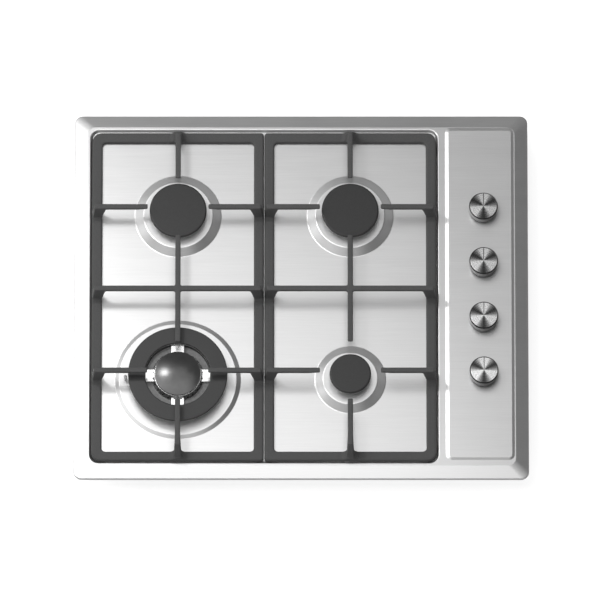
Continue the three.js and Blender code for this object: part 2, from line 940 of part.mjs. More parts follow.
function tapBody() {
  const outside = cylinder(tapRadius, 0, tapHeight, medium);
  const outlet = lyingCylinder(outletRadius, 0, tapRadius + outletReach, 180, outletRise, coarse);
  const cone = turned(
    [
      [0, tapFloor],
      [coneBottom + slideGap, tapFloor],
      [coneTop + slideGap, coneRoof],
      [0, coneRoof],
    ],
    medium,
  );
  return without(outside.add(outlet), [
    cone,
    cylinder(gasWay, -over, tapFloor + over, coarse),
    cylinder(spindleRadius + 2 * slideGap, coneRoof - over, tapHeight + over, coarse),
    lyingCylinder(gasWay, 0, tapRadius + outletReach + over, 180, outletRise, coarse),
  ]);
}

// A round shaft with one flat, as a shape or a socket that is larger by gap.
function shaft(z0, z1, gap) {
  const round = cylinder(spindleRadius + gap, z0, z1, coarse);
  const flat = spindleRadius - spindleFlat + gap;
  const reach = 2 * spindleRadius;
  return round.subtract(block(-reach, reach, flat, reach, z0 - over, z1 + over));
}

const plugTop = coneRoof - slideGap;
const spindleBottom = plugTop - plugDrive;
const socketBottom = spindleBottom - pushTravel - slideGap;

function tapPlug() {
  const cone = turned(
    [
      [0, tapFloor + seatGap],
      [coneBottom, tapFloor + seatGap],
      [coneTop, plugTop],
      [0, plugTop],
    ],
    medium,
  );
  return without(cone, [
    shaft(socketBottom, plugTop + over, slideGap),
    cylinder(plugWay, 0, outletRise, coarse),
    lyingCylinder(plugWay, 0, coneTop + over, 0, outletRise, coarse),
  ]);
}

const spindleTop = panelZ + knobHeight - knobRoof - seatGap - tapZ;

function pipeRoute(burner) {
  const knobY = knobYs[burner.knob];
  const startX = knobX - tapRadius - outletReach - seatGap;
  const endX = burner.x + cupRadius(burner.size) + inletReach + seatGap;
  const turnX = burner.x === leftX ? endX + pipeEndLength : (startX + endX) / 2;
  const step = burner.y - knobY;
  const bend = Math.min(pipeBend, Math.abs(step) / 2);
  const way = Math.sign(step);
  const at = (x, y) => new THREE.Vector3(x, y, pipeZ);
  const path = new THREE.CurvePath();
  path.add(new THREE.LineCurve3(at(startX, knobY), at(turnX + bend, knobY)));
  path.add(
    new THREE.QuadraticBezierCurve3(
      at(turnX + bend, knobY),
      at(turnX, knobY),
      at(turnX, knobY + way * bend),
    ),
  );
  if (Math.abs(step) > 2 * bend) {
    path.add(new THREE.LineCurve3(at(turnX, knobY + way * bend), at(turnX, burner.y - way * bend)));
  }
  path.add(
    new THREE.QuadraticBezierCurve3(
      at(turnX, burner.y - way * bend),
      at(turnX, burner.y),
      at(turnX - bend, burner.y),
    ),
  );
  path.add(new THREE.LineCurve3(at(turnX - bend, burner.y), at(endX, burner.y)));
  return path;
}

function gasPipe(burner) {
  const path = pipeRoute(burner);
  const circle = (radius, sides) =>
    Array.from({ length: sides }, (_, n) => {
      const angle = (n * 2 * Math.PI) / sides;
      return new THREE.Vector2(radius * Math.cos(angle), radius * Math.sin(angle));
    });
  const ring = new THREE.Shape(circle(pipeRadius, coarse));
  ring.holes.push(new THREE.Path(circle(gasWay, pipeBoreSides)));
  const steps = Math.ceil(path.getLength() / pipeStep);
  return solidOf(new THREE.ExtrudeGeometry(ring, { extrudePath: path, steps }));
}

// ---- Knobs, drawn about their axis with z = 0 at the panel's top ----

const hubBottom = knobStand + hubRecess;

function knob() {
  const inside = knobBaseRadius - knobWall;
  const body = turned(
    [
      [0, hubBottom],
      [hubRadius, hubBottom],
      [hubRadius, knobHeight - knobRoof],
      [inside, knobHeight - knobRoof],
      [inside, knobStand],
      [knobBaseRadius, knobStand],
      [knobRadius, knobHeight - knobChamfer],
      [knobRadius - knobChamfer, knobHeight],
      [0, knobHeight],
    ],
    fine,
  );
  const half = pointerWidth / 2;
  const cutY = knobRadius + over;
  const pointer = block(-half, half, 0, cutY, knobHeight - pointerDepth, knobHeight + over);
  return without(body, [pointer, shaft(0, knobHeight - knobRoof, slideGap)]);
}

function collarRadius() {
  return knobBaseRadius - knobWall - slideGap;
}

function collarBore() {
  return hubRadius + 2 * slideGap;
}

function collarNeckRadius() {
  return collarBore() + collarNeck;
}

function knobCollar() {
  return closedTurned(
    [
      [collarBore(), -sheet - seatGap],
      [collarNeckRadius(), -sheet - seatGap],
      [collarNeckRadius(), seatGap],
      [collarRadius(), seatGap],
      [collarRadius(), seatGap + collarHeight],
      [collarBore(), seatGap + collarHeight],
    ],
    medium,
  );
}

// ---- Ignition, supply and clamps ----

function sparkGenerator() {
  const base = traySheet + seatGap;
  const { x, y, z } = sparkBox;
  const terminals = rowOfFour.map((n) =>
    cylinder(terminalRadius, base, base + z + terminalHeight, coarse).translate([
      n * terminalPitch,
      0,
      0,
    ]),
  );
  return joined([block(-x / 2, x / 2, -y / 2, y / 2, base, base + z), ...terminals]);
}

function supplyGland() {
  const face = trayY + seatGap;
  const collar = lyingCylinder(glandRadius, face, face + glandLength, 90, glandRise, 6);
  const tailStart = trayY - glandTail;
  const tail = lyingCylinder(glandThread, tailStart, face + glandLength / 2, 90, glandRise, medium);
  const boreEnd = face + glandLength + over;
  return collar
    .add(tail)
    .subtract(lyingCylinder(glandBore, tailStart - over, boreEnd, 90, glandRise, coarse));
}

// A clamp stands against the tray's wall, which is at y = 0, and reaches out along +Y.
function fixingClamp() {
  const half = clampWidth / 2;
  const armTop = worktopZ - worktopMost;
  const armBottom = armTop - clampThickness;
  const back = block(-half, half, seatGap, seatGap + clampThickness, armBottom, armBottom + clampHeight);
  const arm = block(-half, half, seatGap, seatGap + clampReach, armBottom, armTop);
  const screwZ = armTop + clampHeight / 2;
  const screwEnd = seatGap + clampThickness + screwHead;
  const screw = lyingCylinder(screwRadius, seatGap + clampThickness / 2, screwEnd, 90, screwZ, coarse);
  return joined([back, arm, screw]);
}

// ---- Assembly ----

function piece(name, solid, finish) {
  const material = new THREE.MeshStandardMaterial(finishes[finish]);
  const mesh = new THREE.Mesh(geometryOf(solid), material);
  mesh.name = name;
  return mesh;
}

function placed(x, y, z, meshes) {
  const group = new THREE.Group();
  group.position.set(x, y, z);
  group.add(...meshes);
  return group;
}

function burnerGroup({ name, x, y, size }) {
  const large = size === largeBurner;
  const spark = piece(`spark_electrode_${name}`, electrode(size), "ceramic");
  spark.position.set(...electrodePlace(size));
  const crown = large ? doubleCrown(size) : burnerCrown(size);
  const meshes = [
    spark,
    piece(`burner_cup_${name}`, burnerCup(size), "castAluminium"),
    piece(`burner_crown_${name}`, crown, "aluminium"),
    piece(`injector_${name}`, injector(), "brass"),
  ];
  if (large) {
    meshes.push(piece("burner_ring_cap", ringCap(size), "enamel"));
    meshes.push(piece("burner_centre_cap", domedCap(size), "glossEnamel"));
  } else {
    meshes.push(piece(`burner_cap_${name}`, burnerCap(size), "enamel"));
  }
  return placed(x, y, floorZ, meshes);
}

function tapGroup(y, n) {
  return placed(knobX, y, tapZ, [
    piece(`tap_body_${n}`, tapBody(), "brass"),
    piece(`tap_plug_${n}`, tapPlug(), "brass"),
    piece(`tap_spindle_${n}`, shaft(spindleBottom, spindleTop, 0), "zincSteel"),
  ]);
}

function knobGroup(y, n) {
  return placed(knobX, y, panelZ, [
    piece(`knob_${n}`, knob(), "turnedSteel"),
    piece(`knob_collar_${n}`, knobCollar(), "blackPlastic"),
  ]);
}

// sideX and sideY are -1 or 1: left or right, and front or rear.
function clampGroup([sideX, sideY], n) {
  const mesh = piece(`fixing_clamp_${n + 1}`, fixingClamp(), "zincSteel");
  const group = placed(sideX * trayX, sideY * (trayY - clampInset), 0, [mesh]);
  group.rotation.z = (-sideX * Math.PI) / 2;
  return group;
}

function cooktop() {
  const group = new THREE.Group();
  const rightEnd = [supportCornerOuter, supportCornerOuter, supportCornerInner, supportCornerInner];
  const leftEnd = rightEnd.toReversed();
  group.add(
    piece("top_plate", topPlate(), "brushedSteel"),
    piece("rim_seal", rimSeal(), "rubber"),
    piece("bottom_tray", bottomTray(), "zincSteel"),
    placed(leftX, supportShift, floorZ, [
      piece("pan_support_left", panSupport(leftEnd), "castIron"),
    ]),
    placed(rightX, supportShift, floorZ, [piece("pan_support_right", panSupport(rightEnd), "castIron")]),
    ...burners.map(burnerGroup),
    ...burners.map((burner) => piece(`gas_pipe_${burner.name}`, gasPipe(burner), "aluminium")),
    placed(knobX, 0, 0, [
      piece("gas_rail", gasRail(), "zincSteel"),
      piece("gas_inlet", gasInlet(), "brass"),
    ]),
    ...knobYs.map((y, n) => tapGroup(y, n + 1)),
    ...knobYs.map((y, n) => knobGroup(y, n + 1)),
    placed(knobX - sparkFromKnobs, trayY - sparkFromWall, 0, [
      piece("spark_generator", sparkGenerator(), "blackPlastic"),
    ]),
    placed(knobX - glandFromKnobs, 0, 0, [piece("supply_gland", supplyGland(), "blackPlastic")]),
    ...[[-1, -1], [1, -1], [-1, 1], [1, 1]].map(clampGroup),
  );
  return group;
}

export default cooktop();
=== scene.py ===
import json
import math

import bmesh
import bpy
from mathutils import Matrix, Vector

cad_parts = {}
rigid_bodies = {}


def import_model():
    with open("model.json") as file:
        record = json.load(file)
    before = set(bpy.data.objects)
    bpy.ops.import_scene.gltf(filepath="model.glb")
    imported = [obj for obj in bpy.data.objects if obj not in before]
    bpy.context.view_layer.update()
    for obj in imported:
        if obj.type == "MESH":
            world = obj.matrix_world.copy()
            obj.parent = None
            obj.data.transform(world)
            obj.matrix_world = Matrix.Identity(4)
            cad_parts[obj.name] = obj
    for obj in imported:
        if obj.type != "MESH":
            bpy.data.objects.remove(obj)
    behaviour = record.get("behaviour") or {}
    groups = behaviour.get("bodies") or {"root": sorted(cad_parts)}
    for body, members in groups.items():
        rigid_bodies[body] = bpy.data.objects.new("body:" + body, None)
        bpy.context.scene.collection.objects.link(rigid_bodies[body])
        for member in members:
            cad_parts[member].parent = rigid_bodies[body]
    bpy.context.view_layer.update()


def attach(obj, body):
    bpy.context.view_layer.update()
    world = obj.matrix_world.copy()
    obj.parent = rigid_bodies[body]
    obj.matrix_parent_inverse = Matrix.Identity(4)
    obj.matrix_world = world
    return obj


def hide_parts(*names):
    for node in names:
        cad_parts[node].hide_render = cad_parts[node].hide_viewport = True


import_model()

mm = 0.001
up = Vector((0, 0, 1))

# Plan places and levels shared by several pieces, in millimetres
level = {"seat": 46, "lip": 50, "edge": 54, "land": 57.7, "floor": 55, "panel": 59.2,
         "pipes": 29.0}
plan = {"left": -162.85, "right": 64.65, "rear": 112.5, "front": -117, "knobs": 241}
knobRows = [-111.3, -34.5, 42.3, 119.1]
burners = {
    "rear_left": {"x": plan["left"], "y": plan["rear"], "kind": "medium"},
    "rear_right": {"x": plan["right"], "y": plan["rear"], "kind": "medium"},
    "front_left": {"x": plan["left"], "y": plan["front"], "kind": "large"},
    "front_right": {"x": plan["right"], "y": plan["front"], "kind": "small"},
}


# Geometry helpers, in millimetres

def filleted(points, arc=4):
    # A polyline whose (x, z, radius) corners are rounded
    out = []
    for i, (x, z, radius) in enumerate(points):
        if not radius:
            out.append((x, z))
            continue
        corner = Vector((x, z))
        before = (Vector(points[i - 1][:2]) - corner).normalized()
        after = (Vector(points[(i + 1) % len(points)][:2]) - corner).normalized()
        half = before.angle(after) / 2
        centre = corner + (before + after).normalized() * radius / math.sin(half)
        start = corner + before * radius / math.tan(half) - centre
        end = corner + after * radius / math.tan(half) - centre
        turn = math.atan2(start.x * end.y - start.y * end.x, start.dot(end))
        for n in range(arc + 1):
            spoke = Matrix.Rotation(turn * n / arc, 2) @ start
            out.append(tuple(centre + spoke))
    return out


def lathe(bm, profile, steps=96, ring=False):
    # Turns a (radius, height) profile about an upright axis
    verts = [bm.verts.new((r, 0, z)) for r, z in profile]
    pairs = list(zip(verts, verts[1:])) + ([(verts[-1], verts[0])] if ring else [])
    edges = [bm.edges.new(pair) for pair in pairs]
    bmesh.ops.spin(bm, geom=verts + edges, cent=(0, 0, 0), axis=up, angle=2 * math.pi, steps=steps,
                   use_merge=True)
    bmesh.ops.remove_doubles(bm, verts=bm.verts, dist=1e-4)
    return bm


def lathed(profile, steps=96, ring=False):
    return lathe(bmesh.new(), profile, steps, ring)


def roundedPath(x0, x1, y0, y1, corner, arc=10, keep=False):
    # A rounded rectangle's points at any grow outwards. keep holds the corner radius as it grows
    def at(grow):
        radius = corner if keep else corner + grow
        points = []
        for n, (x, y) in enumerate([(x1, y0), (x1, y1), (x0, y1), (x0, y0)]):
            sideX, sideY = (1 if x == x1 else -1), (1 if y == y1 else -1)
            middle = Vector((x + sideX * (grow - radius), y + sideY * (grow - radius), 0))
            for step in range(arc + 1):
                angle = (n - 1 + step / arc) * math.pi / 2
                points.append(middle + radius * Vector((math.cos(angle), math.sin(angle), 0)))
        return points
    return at


def roundPath(x, y, steps=96):
    spokes = [2 * math.pi * n / steps for n in range(steps)]
    return lambda grow: [Vector((x + grow * math.cos(a), y + grow * math.sin(a), 0)) for a in spokes]


def sweep(bm, path, profile):
    # A skin along a closed path through (grow, height) points. Returns its first and last edges
    verts = [bm.verts.new(p + up * profile[0][1]) for p in path(profile[0][0])]
    first = [bm.edges.new(pair) for pair in zip(verts, verts[1:] + verts[:1])]
    edges = first
    for grow, z in profile[1:]:
        order = {tuple(v.co): n for n, v in enumerate(verts)}
        grown = bmesh.ops.extrude_edge_only(bm, edges=edges)["geom"]
        edges = [g for g in grown if isinstance(g, bmesh.types.BMEdge)]
        verts = sorted((g for g in grown if isinstance(g, bmesh.types.BMVert)),
                       key=lambda v: order[tuple(v.co)])
        for v, p in zip(verts, path(grow)):
            v.co = p + up * z
    return first, edges


def fill(bm, *rims):
    bmesh.ops.triangle_fill(bm, edges=[e for rim in rims for e in rim], use_beauty=True)


def slab(bm, size, at, bevel=0.0, segments=2, turn=0.0):
    # A box with softened edges, turned about its own upright axis, then moved
    verts = bmesh.ops.create_cube(bm, size=1)["verts"]
    bmesh.ops.scale(bm, verts=verts, vec=size)
    if bevel:
        edges = list({e for v in verts for e in v.link_edges})
        cut = bmesh.ops.bevel(bm, geom=edges, offset=bevel, segments=segments, profile=0.5,
                              affect="EDGES", material=-1)
        verts = list({v for f in cut["faces"] for v in f.verts} | {v for v in verts if v.is_valid})
    bmesh.ops.rotate(bm, verts=verts, cent=(0, 0, 0), matrix=Matrix.Rotation(turn, 3, "Z"))
    bmesh.ops.translate(bm, verts=verts, vec=at)


def strip(points, half):
    # A bar along X whose section is a closed line of (y, z) points
    bm = bmesh.new()
    face = bm.faces.new([bm.verts.new((-half, y, z)) for y, z in points])
    grown = bmesh.ops.extrude_face_region(bm, geom=[face])["geom"]
    farEnd = [g for g in grown if isinstance(g, bmesh.types.BMVert)]
    bmesh.ops.translate(bm, verts=farEnd, vec=(2 * half, 0, 0))
    return bm


def layDown(bm, at, turn=0.0):
    # Tips a lathed part's axis from up to +Y, turns it about the upright axis, then moves it
    tip = Matrix.Rotation(turn, 4, "Z") @ Matrix.Rotation(-math.pi / 2, 4, "X")
    bmesh.ops.transform(bm, matrix=Matrix.Translation(at) @ tip, verts=bm.verts)
    return bm


wrapping = {"leanX": 0.35, "leanY": 0.2, "turned": 0.02}


def sheetUv(co):
    # Seen from above, leaning enough that upright faces keep some width
    return (co.x - wrapping["leanX"] * co.z, co.y - wrapping["leanY"] * co.z)


def turnedUv(co):
    # The turn about the axis, and the way outwards and up
    out = math.hypot(co.x, co.y)
    return (math.atan2(co.y, co.x), out * wrapping["turned"] + co.z * wrapping["turned"])


def lay(bm, wrap):
    uv = bm.loops.layers.uv.new("uv")
    for face in bm.faces:
        for loop in face.loops:
            loop[uv].uv = wrap(loop.vert.co)
        across = [loop[uv].uv.x for loop in face.loops]
        if wrap is turnedUv and max(across) - min(across) > math.pi:
            for loop in face.loops:
                if loop[uv].uv.x < 0:
                    loop[uv].uv.x += 2 * math.pi


def piece(name, bm, look, *, body="root", nodes=(), slot=None, at=(0, 0, 0), wrap=None, smooth=40,
          weighted=True, outward=False):
    # Makes the object of a mesh drawn in millimetres about the point at
    if not outward:
        bmesh.ops.recalc_face_normals(bm, faces=bm.faces)
    if wrap:
        lay(bm, wrap)
    bmesh.ops.translate(bm, verts=bm.verts, vec=at)
    bmesh.ops.scale(bm, verts=bm.verts, vec=(mm, mm, mm))
    for face in bm.faces:
        face.smooth = True
    for edge in bm.edges:
        if len(edge.link_faces) == 2 and edge.calc_face_angle(0) > math.radians(smooth):
            edge.smooth = False
    mesh = bpy.data.meshes.new(name)
    bm.to_mesh(mesh)
    bm.free()
    obj = bpy.data.objects.new(name, mesh)
    bpy.context.scene.collection.objects.link(obj)
    obj.data.materials.append(look)
    if weighted:
        obj.modifiers.new("normals", "WEIGHTED_NORMAL").keep_sharp = True
    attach(obj, body)
    if nodes:
        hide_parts(*nodes)
    return obj


def pressed(name, bm, look, thickness, faceUp, **settings):
    # A sheet metal skin that is thickened away from the side its widest face looks to
    bmesh.ops.remove_doubles(bm, verts=bm.verts, dist=1e-3)
    bmesh.ops.recalc_face_normals(bm, faces=bm.faces)
    widest = max(bm.faces, key=lambda f: f.calc_area() * abs(f.normal.z))
    if (widest.normal.z > 0) != faceUp:
        bmesh.ops.reverse_faces(bm, faces=bm.faces)
    obj = piece(name, bm, look, weighted=False, outward=True, **settings)
    skin = obj.modifiers.new("skin", "SOLIDIFY")
    skin.thickness = thickness * mm
    skin.offset = -1
    obj.modifiers.new("normals", "WEIGHTED_NORMAL").keep_sharp = True
    return obj


# Material helpers

def newLook(name):
    look = bpy.data.materials.new(name)
    look.use_nodes = True
    nodes = look.node_tree.nodes
    shader = next(n for n in nodes if n.type == "BSDF_PRINCIPLED")
    return look, nodes, look.node_tree.links, shader


def noise(nodes, links, scale, detail=3.0, rough=0.5):
    # A noise texture stretched by a scale for each axis
    where = nodes.new("ShaderNodeTexCoord")
    stretch = nodes.new("ShaderNodeMapping")
    stretch.inputs["Scale"].default_value = scale
    texture = nodes.new("ShaderNodeTexNoise")
    texture.inputs["Scale"].default_value = 1.0
    texture.inputs["Detail"].default_value = detail
    texture.inputs["Roughness"].default_value = rough
    links.new(where.outputs["Object"], stretch.inputs["Vector"])
    links.new(stretch.outputs["Vector"], texture.inputs["Vector"])
    return texture.outputs["Fac"]


def ramp(nodes, links, value, stops):
    # Colours at places along a value from 0 to 1
    band = nodes.new("ShaderNodeValToRGB")
    while len(band.color_ramp.elements) < len(stops):
        band.color_ramp.elements.new(0.5)
    for element, (place, colour) in zip(band.color_ramp.elements, stops):
        element.position = place
        element.color = (*colour, 1) if isinstance(colour, tuple) else (colour,) * 3 + (1,)
    links.new(value, band.inputs["Fac"])
    return band.outputs["Color"]


def span(nodes, links, value, low, high, fromLow=0.3, fromHigh=0.7, kind="LINEAR"):
    change = nodes.new("ShaderNodeMapRange")
    change.interpolation_type = kind
    for key, number in zip(("From Min", "From Max", "To Min", "To Max"),
                           (fromLow, fromHigh, low, high)):
        change.inputs[key].default_value = number
    links.new(value, change.inputs["Value"])
    return change.outputs["Result"]


def maths(nodes, links, kind, *values):
    step = nodes.new("ShaderNodeMath")
    step.operation = kind
    for socket, value in zip(step.inputs, values):
        if isinstance(value, (int, float)):
            socket.default_value = value
        else:
            links.new(value, socket)
    return step.outputs[0]


def bump(nodes, links, shader, height, distance):
    relief = nodes.new("ShaderNodeBump")
    relief.inputs["Distance"].default_value = distance
    links.new(height, relief.inputs["Height"])
    links.new(relief.outputs["Normal"], shader.inputs["Normal"])


def followUv(nodes, links, shader, anisotropy):
    # Stretches the gloss across the brushing or turning marks
    shader.inputs["Anisotropic"].default_value = anisotropy
    shader.inputs["Anisotropic Rotation"].default_value = 0.25
    tangent = nodes.new("ShaderNodeTangent")
    tangent.direction_type = "UV_MAP"
    tangent.uv_map = "uv"
    links.new(tangent.outputs["Tangent"], shader.inputs["Tangent"])


def grainy(name, dark, light, grain, roughness, metallic=0.0, relief=0.0, specular=0.5):
    # An even finish with a fine grain in its colour, roughness and surface
    look, nodes, links, shader = newLook(name)
    spots = noise(nodes, links, (grain,) * 3, 4.0, 0.6)
    links.new(ramp(nodes, links, spots, [(0.3, dark), (0.7, light)]), shader.inputs["Base Color"])
    links.new(span(nodes, links, spots, *roughness), shader.inputs["Roughness"])
    shader.inputs["Metallic"].default_value = metallic
    shader.inputs["Specular IOR Level"].default_value = specular
    if relief:
        bump(nodes, links, shader, spots, relief)
    return look


brushing = {"hair": (22.0, 900.0, 900.0), "drift": (9.0, 90.0, 90.0), "hairShare": 0.65,
            "driftShare": 0.35, "relief": 0.000012}


def brushedSteel(name, tones, roughness, anisotropy):
    # Steel brushed along X: long streaks in its tone and gloss
    look, nodes, links, shader = newLook(name)
    hair = noise(nodes, links, brushing["hair"], 2.0)
    drift = noise(nodes, links, brushing["drift"], 3.0)
    streak = maths(nodes, links, "ADD",
                   maths(nodes, links, "MULTIPLY", hair, brushing["hairShare"]),
                   maths(nodes, links, "MULTIPLY", drift, brushing["driftShare"]))
    links.new(ramp(nodes, links, streak, [(0.3, tones[0]), (0.7, tones[1])]),
              shader.inputs["Base Color"])
    links.new(span(nodes, links, streak, *roughness), shader.inputs["Roughness"])
    shader.inputs["Metallic"].default_value = 1.0
    followUv(nodes, links, shader, anisotropy)
    bump(nodes, links, shader, streak, brushing["relief"])
    return look


turning = {"fine": 150.0, "ringShare": 0.16, "middle": 0.47, "paintedFanShare": -0.42, "relief": 0.00001}


def turnedMetal(name, stops, roughness, anisotropy, paintedFans=0):
    # Metal with fine turning rings. fans is the number of bright sectors on a turned face: painted
    # highlight sectors in the colour, standing in for the turned face's reflections
    look, nodes, links, shader = newLook(name)
    uv = nodes.new("ShaderNodeUVMap")
    uv.uv_map = "uv"
    parts = nodes.new("ShaderNodeSeparateXYZ")
    links.new(uv.outputs["UV"], parts.inputs[0])
    rings = nodes.new("ShaderNodeTexNoise")
    rings.noise_dimensions = "1D"
    rings.inputs["Scale"].default_value = 1.0
    rings.inputs["Detail"].default_value = 3.0
    links.new(maths(nodes, links, "MULTIPLY", parts.outputs["Y"], turning["fine"]), rings.inputs["W"])
    tone = rings.outputs["Fac"]
    # painted highlight: a wave of light and dark sectors about the axis, painted into the colour in
    # place of reflections
    if paintedFans:
        paintedFanWave = maths(nodes, links, "SINE", maths(nodes, links, "MULTIPLY", parts.outputs["X"], paintedFans))
        tone = maths(nodes, links, "MULTIPLY_ADD", tone, turning["ringShare"], turning["middle"])
        tone = maths(nodes, links, "MULTIPLY_ADD", paintedFanWave, turning["paintedFanShare"], tone)
    links.new(ramp(nodes, links, tone, stops), shader.inputs["Base Color"])
    links.new(span(nodes, links, rings.outputs["Fac"], *roughness), shader.inputs["Roughness"])
    shader.inputs["Metallic"].default_value = 1.0
    followUv(nodes, links, shader, anisotropy)
    bump(nodes, links, shader, rings.outputs["Fac"], turning["relief"])
    return look


def spangled(name, dark, light, grain, roughness):
    # Zinc coated sheet: flat crystals that differ a little in tone and gloss
    look, nodes, links, shader = newLook(name)
    where = nodes.new("ShaderNodeTexCoord")
    cells = nodes.new("ShaderNodeTexVoronoi")
    cells.inputs["Scale"].default_value = grain
    links.new(where.outputs["Object"], cells.inputs["Vector"])
    parts = nodes.new("ShaderNodeSeparateColor")
    links.new(cells.outputs["Color"], parts.inputs["Color"])
    tone = parts.outputs["Red"]
    links.new(ramp(nodes, links, tone, [(0.0, dark), (1.0, light)]), shader.inputs["Base Color"])
    links.new(span(nodes, links, tone, *roughness, 0.0, 1.0), shader.inputs["Roughness"])
    shader.inputs["Metallic"].default_value = 1.0
    return look


looks = {
    "plate": brushedSteel("plate_steel", (0.74, 0.79), (0.35, 0.39), 0.45),
    "zinc": spangled("zinc_steel", 0.40, 0.50, 140.0, (0.36, 0.48)),
    "iron": grainy("cast_iron", 0.086, 0.114, 900.0, (0.50, 0.66), 0.0, 0.00005, 0.15),
    "enamel": grainy("matt_enamel", 0.034, 0.042, 700.0, (0.34, 0.42), 0.0, 0.00001, 0.38),
    "gloss": grainy("gloss_enamel", 0.088, 0.102, 120.0, (0.19, 0.22), 0.6),
    # painted shade: a dark aluminium for the sheet that stands in for the shadow deep in the large
    # burner's well
    "shade": grainy("smoked_aluminium", 0.10, 0.18, 300.0, (0.40, 0.52), 1.0, 0.00003),
    "cast": grainy("cast_aluminium", 0.50, 0.62, 500.0, (0.38, 0.50), 1.0, 0.00004),
    "bright": grainy("bright_aluminium", 0.80, 0.90, 400.0, (0.20, 0.30), 1.0, 0.00002),
    # painted highlight: the knob face's colour runs from near black to white in sectors that stand in
    # for its reflections
    "knobTop": turnedMetal("knob_face", [(0.12, 0.05), (0.46, 0.42), (0.76, 1.0)], (0.24, 0.30),
                           0.2, 3),
    # painted shade: the knob steel's colour kept very dark on its sides and pointer, standing in for the
    # dark reflections there
    "knobSideShade": turnedMetal("knob_side", [(0.2, 0.035), (0.8, 0.065)], (0.26, 0.34), 0.3),
    "brass": grainy("brass", (0.50, 0.36, 0.12), (0.64, 0.48, 0.18), 300.0, (0.26, 0.40), 1.0,
                    0.00002),
    # black for the real plastic parts, also used as painted shade for the large burner's flame holes
    "black": grainy("black_plastic", 0.012, 0.020, 800.0, (0.36, 0.50), 0.0, 0.00003),
    "foam": grainy("foam_seal", 0.20, 0.28, 1500.0, (0.80, 0.95), 0.0, 0.00015),
    "rubber": grainy("rubber_foot", 0.015, 0.025, 900.0, (0.65, 0.80), 0.0, 0.00003),
    "ceramic": grainy("white_ceramic", 0.70, 0.78, 300.0, (0.25, 0.35), 0.0, 0.00001),
}
print("looks made")


# Top plate

plate = {"x": 300, "y": 255, "sheet": 1.0, "corner": 10.5, "edge": 1.1, "rim": 17.2, "fold": 1.5,
         "rimFlat": 0.4, "wellWall": 3.3, "wellFold": 2.0, "wellFoot": 0.9, "wellCorner": 12.5,
         "wellFlat": 1.0, "panelBevel": 4.5, "steep": 0.75, "panelFold": 0.8, "panelCorner": 3.5,
         "panelFlat": 0.3, "panelTopFlat": 0.6, "bossFlat": 2, "bossHole": 0.6, "knobHole": 9.4,
         "holeFold": 0.4}
well = (-279.5, 181.3, -234.5, 234.5)
panel = (190.5, 281.2, -230.0, 237.0)
bosses = {
    "medium": {"top": 45.9, "foot": 56.9, "rise": 6.5, "hole": 31.0, "soft": 3.2},
    "small": {"top": 36.1, "foot": 46.6, "rise": 6.5, "hole": 21.2, "soft": 3.2},
    "large": {"top": 77.4, "foot": 83.0, "rise": 2.3, "hole": 58.7, "soft": 2.6},
}


def rimSide(bm):
    # The turned-down lip, the sloped rim and the start of the level land inside it
    land, rim = level["land"], plate["rim"]
    path = roundedPath(-plate["x"], plate["x"], -plate["y"], plate["y"], plate["corner"], arc=12,
                       keep=True)
    side = filleted([(0, level["lip"], 0), (0, level["edge"], plate["edge"]),
                     (-rim, land, plate["fold"]), (-rim - plate["rimFlat"], land, 0)], arc=5)
    return sweep(bm, path, side)[1]


def wellSide(bm):
    land, floor = level["land"], level["floor"]
    wall, flat = plate["wellWall"], plate["wellFlat"]
    side = filleted([(flat, land, 0), (0, land, plate["wellFold"]), (-wall, floor, plate["wellFoot"]),
                     (-wall - flat, floor, 0)], arc=6)
    return sweep(bm, roundedPath(*well, plate["wellCorner"], arc=12), side)


def panelSide(bm):
    land, top = level["land"], level["panel"]
    slope, fold = plate["panelBevel"], plate["panelFold"]
    corner = plate["panelCorner"] + slope
    left, right, front, rear = panel

    def raised(grow):
        # The bevel is steeper at the front and the right
        steep = plate["steep"] * grow
        return roundedPath(left - grow, right + steep, front - steep, rear + grow, corner + grow)(0)

    side = filleted([(plate["panelFlat"], land, 0), (0, land, fold), (-slope, top, fold),
                     (-slope - plate["panelTopFlat"], top, 0)], arc=3)
    return sweep(bm, raised, side)


def bossSide(bm, spot):
    boss = bosses[spot["kind"]]
    floor, rise = level["floor"], level["floor"] + boss["rise"]
    side = filleted([(boss["foot"] + plate["bossFlat"], floor, 0), (boss["foot"], floor, boss["soft"]),
                     (boss["top"], rise, boss["soft"]), (boss["hole"], rise, plate["bossHole"]),
                     (boss["hole"], rise - plate["sheet"], 0)], arc=6)
    return sweep(bm, roundPath(spot["x"], spot["y"], 128), side)[0]


def knobOpening(bm, y):
    top, hole, fold = level["panel"], plate["knobHole"], plate["holeFold"]
    side = [(hole + fold, top), (hole, top - fold), (hole, top - plate["sheet"])]
    return sweep(bm, roundPath(plan["knobs"], y, 48), side)[0]


def topPlate():
    bm = bmesh.new()
    landRim = rimSide(bm)
    wellTop, wellFoot = wellSide(bm)
    panelFoot, panelTop = panelSide(bm)
    feet = [bossSide(bm, spot) for spot in burners.values()]
    holes = [knobOpening(bm, y) for y in knobRows]
    fill(bm, landRim, wellTop, panelFoot)
    fill(bm, wellFoot, *feet)
    fill(bm, panelTop, *holes)
    pressed("top_plate_skin", bm, looks["plate"], plate["sheet"], True, nodes=["top_plate"],
            slot="brushed_steel", wrap=sheetUv)


topPlate()
print("top plate made")


# Seal and tray

seal = {"x": 299, "y": 254, "corner": 9.5, "width": 10, "gap": 0.3, "soft": 0.5}
tray = {"x": 274.0, "y": 231.0, "corner": 8.0, "top": 53.5, "foot": 3.0, "flat": 6, "sheet": 1.0}
vent = {"half": 30.0, "width": 4.0, "pitch": 16.0, "middle": -2.25, "corner": 3.9, "fold": 0.4,
        "foldTop": 0.6}


